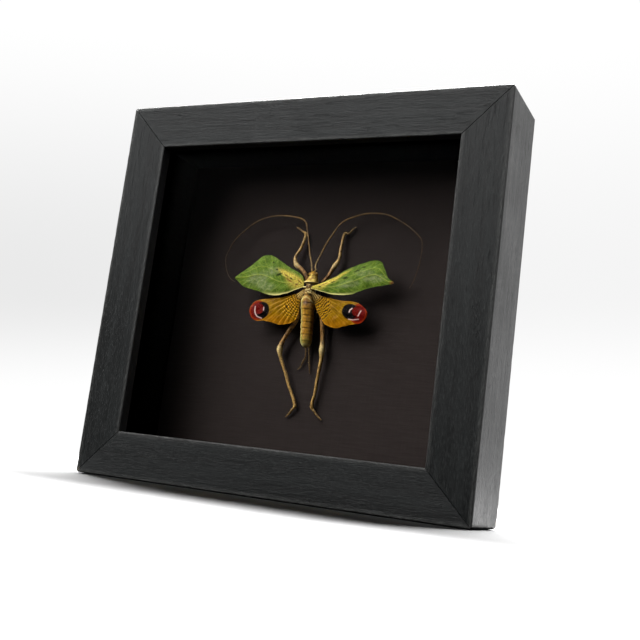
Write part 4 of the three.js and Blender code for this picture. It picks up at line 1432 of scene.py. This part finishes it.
def antenna(name):
    rings, passed = tube(LIMBS[name], sides=THREAD_SIDES, steps=THREAD_STEPS, swell=ringed)
    share = passed / passed[-1]
    tones = {
        "russet": 0.5 - 0.3 * share,
        "pale": 0.25 * bell(passed, 2),
        "dusk_and_shade": 0.15 + 0.75 * smooth_step(share, 0.3, 0.85),
    }
    painted = {key: np.repeat(values, THREAD_SIDES) for key, values in tones.items()}
    piece(name, skin(rings + INSECT), LIMB, [name], painted)


antenna("antenna_left")
antenna("antenna_right")

# %% [markdown]
# The body's finish
# The body is tan and olive, with a paler, knobbly shield and brown bands on the abdomen. One noise colour
# would make it look like a nut. So the mesh says what region each point is in and which mark it has, and
# the finish gives each of them its own coat. Specks lie over all of it, as on the legs.

# %% Colours of the body
TANS = srgb(122, 84, 22), srgb(178, 128, 40)
SHIELD_TANS = srgb(126, 95, 30), srgb(190, 164, 82)
BELLY_BROWN = srgb(108, 84, 48)
BAND_BROWN = srgb(72, 46, 18)
PLUM = srgb(78, 58, 56)
OLIVE = srgb(112, 112, 52)
PLATE_CREAM = srgb(222, 208, 142)
# Dark eyes, and painted shade in the hollows of the thorax
EYE_DARK_AND_HOLLOW_SHADE = srgb(26, 16, 8)
BODY_SPECK = srgb(66, 42, 16)
print("tan", [round(channel, 3) for channel in TANS[1][:3]])

# %% Body finish


def body_finish():
    cuticle = Finish("insect_body")
    place = cuticle.place_mm()
    mottle = cuticle.noise(place, 0.8, detail=4, roughness=0.7)
    speck = cuticle.noise(place, 2.4, detail=3, roughness=0.7)
    tone = cuticle.coats(
        cuticle.mix(cuticle.fit(mottle, 0.38, 0.62), *TANS),
        (cuticle.painted("shield"), cuticle.mix(cuticle.fit(mottle, 0.42, 0.58), *SHIELD_TANS)),
        (cuticle.painted("belly"), BELLY_BROWN),
        (cuticle.painted("band"), BAND_BROWN),
        (cuticle.painted("plum"), PLUM),
        (cuticle.painted("green"), OLIVE),
        (cuticle.painted("pale"), PLATE_CREAM),
        # Dark eyes, and painted shade in the hollows of the thorax
        (cuticle.painted("dark"), EYE_DARK_AND_HOLLOW_SHADE),
        (cuticle.fit(speck, 0.58, 0.74, 0, 0.45), BODY_SPECK),
    )
    normal = cuticle.bump(speck, 0.09 * MM, 0.8)
    gloss = cuticle.fit(mottle, 0.3, 0.7, 0.38, 0.56)
    return cuticle.surface(Base_Color=tone, Roughness=gloss, Normal=normal, Specular_IOR_Level=0.4)


BODY = body_finish()

# %% [markdown]
# The body
# The body grew as one piece: head, the saddle-shaped shield behind it, the thorax between the wings, and
# the abdomen with its overlapping plates. Sculpting would suit it, but a script can't sculpt. So it is
# one skin of rings down a slightly bent spine. Its radius is written station by station, and the
# abdomen's plates come from a sawtooth along its length.

# %% Stations down the body
# x and depth of the body's middle at a height
SPINE = np.array([
    (0.4, 1.0, 9.6), (0.45, 0.5, 5.0), (0.1, 0.0, 1.5), (-0.5, 0.0, -5.0), (0.1, 0.8, -14.8),
    (0.7, 1.4, -27.8),
])
SEGMENTS = 8
ABDOMEN_FRONT, ABDOMEN_TIP = -3.4, -27.8


def spine_at(height):
    order = SPINE[::-1]
    return np.stack([np.interp(height, order[:, 2], order[:, k]) for k in (0, 1)], -1)


def abdomen_stations():
    """Height and radius down the abdomen: long and slim, closed by a round end, with a step at each plate."""
    share = np.linspace(0, 1, 130)[:-1]
    girth = 3.15 + 0.3 * np.sin(math.pi * np.minimum(1, share * 2.6)) ** 2
    radius = girth * (1 - 0.16 * share**2) * np.sqrt(1 - np.clip((share - 0.86) / 0.14, 0, 1) ** 2)
    within = (share * SEGMENTS) % 1
    radius *= 1 + 0.05 * (np.minimum(1, within * 1.25) - 0.5) - 0.035 * bell(within, 0.06)
    height = ABDOMEN_FRONT + (ABDOMEN_TIP - ABDOMEN_FRONT) * share
    return [*zip(height, radius), (ABDOMEN_TIP, 0.4)]


def body_stations():
    """Height and radius down the whole body."""
    head = [(7.6 + 2.0 * math.cos(a), 2.0 * math.sin(a)) for a in np.linspace(0.05, math.pi / 2, 12)]
    neck = [(6.95, 1.92)]
    shares = np.linspace(0, 1, 20)
    shield = [(6.7 - 3.3 * s, 2.3 + 1.5 * s**1.3 - 0.22 * math.sin(math.pi * s)) for s in shares]
    thorax = [
        (3.25, 2.6), (2.6, 2.55), (2.0, 2.6), (1.2, 2.68), (0.9, 2.7), (0.6, 2.45), (0.3, 2.5), (-0.8, 2.73),
        (-1.6, 2.8), (-2.2, 2.8), (-2.6, 2.6), (-3.1, 2.62),
    ]
    return np.array(head + neck + shield + thorax + abdomen_stations())


STATIONS = body_stations()
print(len(STATIONS), "rings from", STATIONS[0][0].round(1), "down to", STATIONS[-1][0].round(1), "mm")

# %% Regions of the body
BODY_SIDES = 48
RADIUS = STATIONS[:, 1:]
TURNS = np.linspace(0, 2 * math.pi, BODY_SIDES, endpoint=False)
# From -1 to 1: how far to the side each point faces, and how far towards the board
SIDE, DEEP = np.cos(TURNS)[None, :], np.sin(TURNS)[None, :]
HEIGHT = np.broadcast_to(STATIONS[:, :1], (len(STATIONS), BODY_SIDES))
FRONT = np.broadcast_to(DEEP < 0, HEIGHT.shape)
ABDOMEN = smooth_step(-HEIGHT, 2.6, 4.5)
SHIELD = smooth_step(HEIGHT, 3.2, 3.6) * (1 - smooth_step(HEIGHT, 7.6, 8.4))
THORAX = smooth_step(HEIGHT, -3.3, -3.0) * (1 - smooth_step(HEIGHT, 3.2, 3.4))
SURFACE = np.stack([SIDE * RADIUS, DEEP * RADIUS, HEIGHT], -1)
KNOBS = wobble(SURFACE.reshape(-1, 3), 1.0, 3).reshape(HEIGHT.shape)
print(HEIGHT.size, "points round the body")

# %% Relief of the body


def body_rings():
    """The rings, with the shield's knobs, keel and rim and the abdomen's side ridges raised on them."""
    keel = 0.12 * bell(SIDE + 0.02, 0.1) * SHIELD * FRONT
    raised = 0.2 * KNOBS * SHIELD + 0.16 * bell(HEIGHT - 3.5, 0.3) + keel
    raised = raised + ABDOMEN * (0.1 * bell(SIDE + 0.72, 0.1) + 0.1 * bell(SIDE - 0.78, 0.1)) * FRONT
    raised = raised + 0.07 * KNOBS * ABDOMEN + 0.12 * KNOBS * THORAX
    reach = RADIUS * (1 + 0.03 * ABDOMEN * bell(SIDE, 0.25) * FRONT) + raised
    saddle = 1.1 * SHIELD * SIDE**2 * bell(HEIGHT - 3.4, 2.4)
    middle = spine_at(STATIONS[:, 0])
    depth = middle[:, 1:] + reach * DEEP * (1 - 0.06 * ABDOMEN) - saddle
    return np.stack([middle[:, :1] + reach * SIDE, depth, HEIGHT], -1)


print("the body is", round(float(np.ptp(body_rings()[..., 2])), 1), "mm long")

# %% Marks of the body


def body_marks():
    """How much of each mark every point has."""
    within = ((ABDOMEN_FRONT - HEIGHT) / (ABDOMEN_FRONT - ABDOMEN_TIP) * SEGMENTS) % 1
    uneven = 0.5 + 0.5 * KNOBS
    arch = bell(HEIGHT + 3.9 + 2.4 * SIDE**2, 0.35) * FRONT
    seams = 0.5 * (bell(within, 0.1) + bell(within - 1, 0.16))
    rim = 0.75 * bell(HEIGHT - 3.5, 0.4) * (0.3 + 0.7 * bell(SIDE + 0.5, 0.8))
    flank = ABDOMEN * bell(SIDE + 0.88, 0.17) * (0.55 + 0.45 * uneven)
    tip = 0.4 * bell(HEIGHT + 26.6, 0.7)
    # Painted shade in two hollows at the front of the thorax, by the wing roots
    hollow_shade = 0.95 * bell(HEIGHT - 1.4, 0.75) * bell(SIDE + 0.28, 0.26) * FRONT
    hollow_shade = hollow_shade + 0.7 * bell(HEIGHT - 2.2, 0.5) * bell(SIDE - 0.3, 0.3) * FRONT
    return {
        "shield": SHIELD,
        "belly": 0.8 * THORAX,
        "band": ABDOMEN * (seams + 0.4 * bell(within - 0.45, 0.16) * uneven),
        "plum": 0.85 * bell(HEIGHT + 6.6, 1.3) * bell(SIDE - 0.1, 0.6) * FRONT,
        "green": ABDOMEN * (0.55 * smooth_step(-HEIGHT, 20.5, 25.5) + 0.5 * bell(SIDE + 0.6, 0.25)),
        "pale": np.clip(rim + 0.6 * arch + flank + tip, 0, 1),
        "dark": np.clip(hollow_shade, 0, 1) * THORAX,
    }


print("marks of the body:", ", ".join(body_marks()))

# %% [markdown]
# Eyes, antenna roots and hinge plates
# The eyes are round knobs at the head's sides, with the roots of the antennae between them. Small pale
# plates lie between the wing roots, where the wings hinge. In the photograph they are a cluster of light
# beads. All of them are flattened balls, joined into the body's mesh because they grew with it.

# %% Balls on the body
HEAD_HEIGHT = 7.6
EYE_HEIGHT, EYE_OUT, EYE_RADII = 8.1, 1.72, (0.78, 0.78, 0.85)
ROOT_HEIGHT, ROOT_OUT, ROOT_RADII = 9.3, 0.75, (0.5, 0.5, 0.55)
EYE_SIDES, PLATE_SIDES = 16, 12
POLE_GAP = 0.08
# x, depth and height of the middle, three radii and how pale each is
HINGE_PLATES = [
    (-2.3, -2.0, 1.1, 1.15, 0.5, 0.42, 0.75), (2.2, -2.1, 0.6, 0.95, 0.5, 0.4, 0.85),
    (-0.45, -2.7, -0.35, 0.6, 0.4, 0.36, 0.8), (0.75, -2.7, -0.1, 0.5, 0.42, 0.42, 0.9),
    (1.55, -2.4, -0.85, 0.5, 0.4, 0.36, 0.7), (0.3, -2.75, -1.3, 0.5, 0.36, 0.34, 0.75),
    (-1.3, -2.3, -0.5, 0.55, 0.4, 0.5, 0.5), (-0.7, -2.6, -1.9, 0.6, 0.3, 0.45, 0.35),
    (1.2, -2.5, -2.3, 0.5, 0.3, 0.5, 0.35), (0.6, -2.75, 2.0, 0.7, 0.3, 0.34, 0.35),
]


def ball(centre, radii, sides):
    angles = np.linspace(POLE_GAP, math.pi - POLE_GAP, sides)[:, None]
    turns = np.linspace(0, 2 * math.pi, sides, endpoint=False)
    ring = [np.sin(angles) * np.cos(turns), np.sin(angles) * np.sin(turns), np.cos(angles) * np.ones(sides)]
    return skin(np.stack(ring, -1) * np.array(radii) + np.array(centre))


def balls():
    """Every ball with how much of each mark it has."""
    x, depth = spine_at(HEAD_HEIGHT)
    for way in (-1, 1):
        eye = ball((x + way * EYE_OUT, depth - 0.7, EYE_HEIGHT), EYE_RADII, EYE_SIDES)
        root = ball((x + way * ROOT_OUT, depth - 0.9, ROOT_HEIGHT), ROOT_RADII, EYE_SIDES)
        yield eye, {"dark": 0.45, "shield": 0.3}
        yield root, {"belly": 0.5, "shield": 0.4}
    for *centre, wide, thick, tall, pale in HINGE_PLATES:
        yield ball(centre, (wide, thick, tall), PLATE_SIDES), {"pale": pale}


print(len(list(balls())), "balls on the body")

# %% Body


def body():
    parts = [skin(body_rings())]
    painted = {key: [*values.reshape(-1), 0.0, 0.0] for key, values in body_marks().items()}
    for shape, marks in balls():
        parts.append(shape)
        for key in painted:
            painted[key] += [marks.get(key, 0.0)] * len(shape[0])
    vertices, faces = joined(parts)
    piece("body", (vertices + INSECT, faces), BODY, ["body"], painted, sharp_angle=55)


body()

# %% [markdown]
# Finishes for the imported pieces
# The pane, strips, board, back and metal are flat or tiny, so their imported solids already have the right
# shape. They could be replaced as the rails were, but nothing would be gained. They stay, take a finish,
# and the small steel pieces get a bevel modifier that eases their edges.

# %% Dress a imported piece
EASED_SIDES = 2
EASED_ANGLE = 40


def dress(names, material, bevel=0.0):
    """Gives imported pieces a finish, and eases their edges by a bevel in millimetres."""
    for name in names:
        node = frame["nodes"][name]
        node.data.materials.clear()
        node.data.materials.append(material)
        if bevel:
            edge = node.modifiers.new("eased_edges", "BEVEL")
            edge.width = bevel * MM
            edge.segments = EASED_SIDES
            edge.limit_method = "ANGLE"
            edge.angle_limit = math.radians(EASED_ANGLE)
    print("dressed", *names)


def starting_with(*starts):
    return [name for name in frame["nodes"] if name.startswith(starts)]


print(len(starting_with("spacer")), "strips,", len(starting_with("tab")), "steel points")

# %% [markdown]
# The pane
# The pane is clean glass, and the photograph shows no glare on it. A full glass shader bends the light
# twice and gives a noisy, dim inside. For a thin flat pane it is enough to let light straight through and
# add a faint mirror, stronger at a slant, as glass has. The mirror is turned far down: it is what gives
# the black inside walls their last trace of tone.

# %% Pane
GLASS_IOR = 1.5
GLASS_TINT = 0.985, 0.99, 0.985, 1
GLARE = 0.015


def pane_finish():
    pane = Finish("pane")
    smear = pane.noise(pane.place(), 14, detail=3)
    clear = pane.node("BsdfTransparent", {"Color": GLASS_TINT})[0]
    shine = pane.node("BsdfGlossy", {"Roughness": pane.fit(smear, 0.3, 0.8, 0.02, 0.07)})[0]
    amount = pane.times(pane.node("Fresnel", {"IOR": GLASS_IOR})[0], GLARE)
    return pane.output(pane.node("MixShader", {0: amount, 1: clear, 2: shine})[0])


dress(["glass"], pane_finish())

# %% [markdown]
# The black strips
# The strips that line the inside walls are matt black. In the photograph they are all but lost in the
# dark. A plain black would do from afar. A very fine fuzz keeps them from looking like a hole close up,
# and they have no gloss at all, or they would mirror the studio through the pane.

# %% Black strips
STRIP_BLACKS = srgb(3, 3, 3), srgb(9, 9, 9)
FUZZ_PER_METRE = 2500


def black_strip():
    strip = Finish("black_strip")
    fuzz = strip.noise(strip.place(), FUZZ_PER_METRE, detail=2)
    tone = strip.mix(strip.fit(fuzz, 0.35, 0.7), *STRIP_BLACKS)
    normal = strip.bump(fuzz, 0.05 * MM, 0.5)
    return strip.surface(Base_Color=tone, Roughness=0.95, Normal=normal, Specular_IOR_Level=0.0)


dress(starting_with("spacer"), black_strip())

# %% [markdown]
# The mount board
# The board behind the insect is covered with a very dark, warm cloth. Its weave shows as faint level
# threads, with fainter upright ones across them. Modelled threads would be far too small to see, so two
# noises, stretched the two ways, stand in for them. A slow cloud makes the dye uneven, and a few pale
# specks of lint lie on it.

# %% Mount board
CLOTH_TONES = srgb(45, 40, 39), srgb(51, 46, 45)
CLOTH_CLOUD = srgb(41, 37, 37)
LINT = srgb(110, 106, 100)


def mount_cloth():
    cloth = Finish("mount_cloth")
    place = cloth.place_mm()
    threads = cloth.noise(cloth.scaled(place, (0.1, 1, 2.2)), 1, detail=3, roughness=0.6)
    cross = cloth.noise(cloth.scaled(place, (2.6, 1, 0.12)), 1, detail=2)
    weave = cloth.plus(threads, cloth.times(cross, 0.4))
    cloud = cloth.noise(place, 0.02, detail=2)
    specks = cloth.cells(place, 0.09, feature="F1")
    tone = cloth.coats(
        cloth.mix(cloth.fit(weave, 0.5, 0.95), *CLOTH_TONES),
        (cloth.fit(cloud, 0.35, 0.7, 0, 0.25), CLOTH_CLOUD),
        (cloth.fit(specks, 0.008, 0.016, 0.5, 0), LINT),
    )
    normal = cloth.bump(weave, 0.03 * MM, 0.25)
    return cloth.surface(Base_Color=tone, Roughness=0.92, Normal=normal, Specular_IOR_Level=0.0)


dress(["mount_board"], mount_cloth())

# %% [markdown]
# The hardboard back
# The back is raw hardboard. Its rough face shows pressed fibres and the print of the wire mesh that it
# was made on. The print is two waves, one each way, multiplied together. It and the fibres go into the
# bump, because in a board this flat they are too shallow to model.

# %% Hardboard
BOARD_BROWNS = srgb(78, 54, 34), srgb(114, 86, 57)
BOARD_BLOT = srgb(62, 42, 27)
WIRE_SCALE = 1.6


def hardboard():
    board = Finish("hardboard")
    place = board.place_mm()
    fibres = board.noise(board.scaled(place, (0.5, 1, 1.2)), 1.2, detail=5, roughness=0.7)
    blot = board.noise(place, 0.03, detail=3)
    wires = [
        board.node("TexWave", {"Vector": place, "Scale": WIRE_SCALE}, bands_direction=way)["Fac"]
        for way in ("X", "Z")
    ]
    tone = board.coats(
        board.mix(board.fit(fibres, 0.3, 0.7), *BOARD_BROWNS),
        (board.fit(blot, 0.35, 0.7, 0, 0.3), BOARD_BLOT),
    )
    normal = board.bump(board.plus(board.times(*wires), fibres), 0.1 * MM, 0.6)
    return board.surface(Base_Color=tone, Roughness=0.78, Normal=normal)


dress(["back_panel"], hardboard())

# %% [markdown]
# Steel points, hanger and nails
# The steel is zinc plated. Plating grows in flat crystals that differ a little in tone, which a Voronoi
# texture gives, and handling leaves fine scratches. A metal shader with an even colour would look like
# plastic foil, so the tone follows the crystals and the roughness the scratches.

# %% Steel
ZINC_TONES = (0.34, 0.34, 0.33, 1), (0.44, 0.44, 0.43, 1)


def steel():
    metal = Finish("steel")
    place = metal.place_mm()
    crystals = metal.cells(place, 0.6, feature="F1")
    scratch = metal.noise(metal.scaled(place, (0.3, 1, 5)), 1, detail=3)
    tone = metal.mix(metal.fit(crystals, 0.1, 0.8), *ZINC_TONES)
    gloss = metal.fit(scratch, 0.3, 0.7, 0.28, 0.45)
    normal = metal.bump(scratch, 0.02 * MM, 0.4)
    return metal.surface(Base_Color=tone, Roughness=gloss, Metallic=1.0, Normal=normal)


dress(starting_with("tab", "nail", "hanger"), steel(), bevel=0.1)

# %% [markdown]
# The pin
# The insect hangs on one thin pin through the thorax. It is dull brass, and almost hidden. Its tarnish is
# a noise that makes it darker and rougher in the same places, because on real brass one comes with the
# other.

# %% Pin
BRASS_TONES = (0.62, 0.45, 0.17, 1), (0.35, 0.24, 0.09, 1)


def pin_metal():
    brass = Finish("pin_metal")
    tarnish = brass.noise(brass.place_mm(), 1.5, detail=3)
    tone = brass.mix(brass.fit(tarnish, 0.35, 0.7), *BRASS_TONES)
    gloss = brass.fit(tarnish, 0.3, 0.7, 0.25, 0.42)
    return brass.surface(Base_Color=tone, Roughness=gloss, Metallic=1.0)


dress(["pin"], pin_metal())
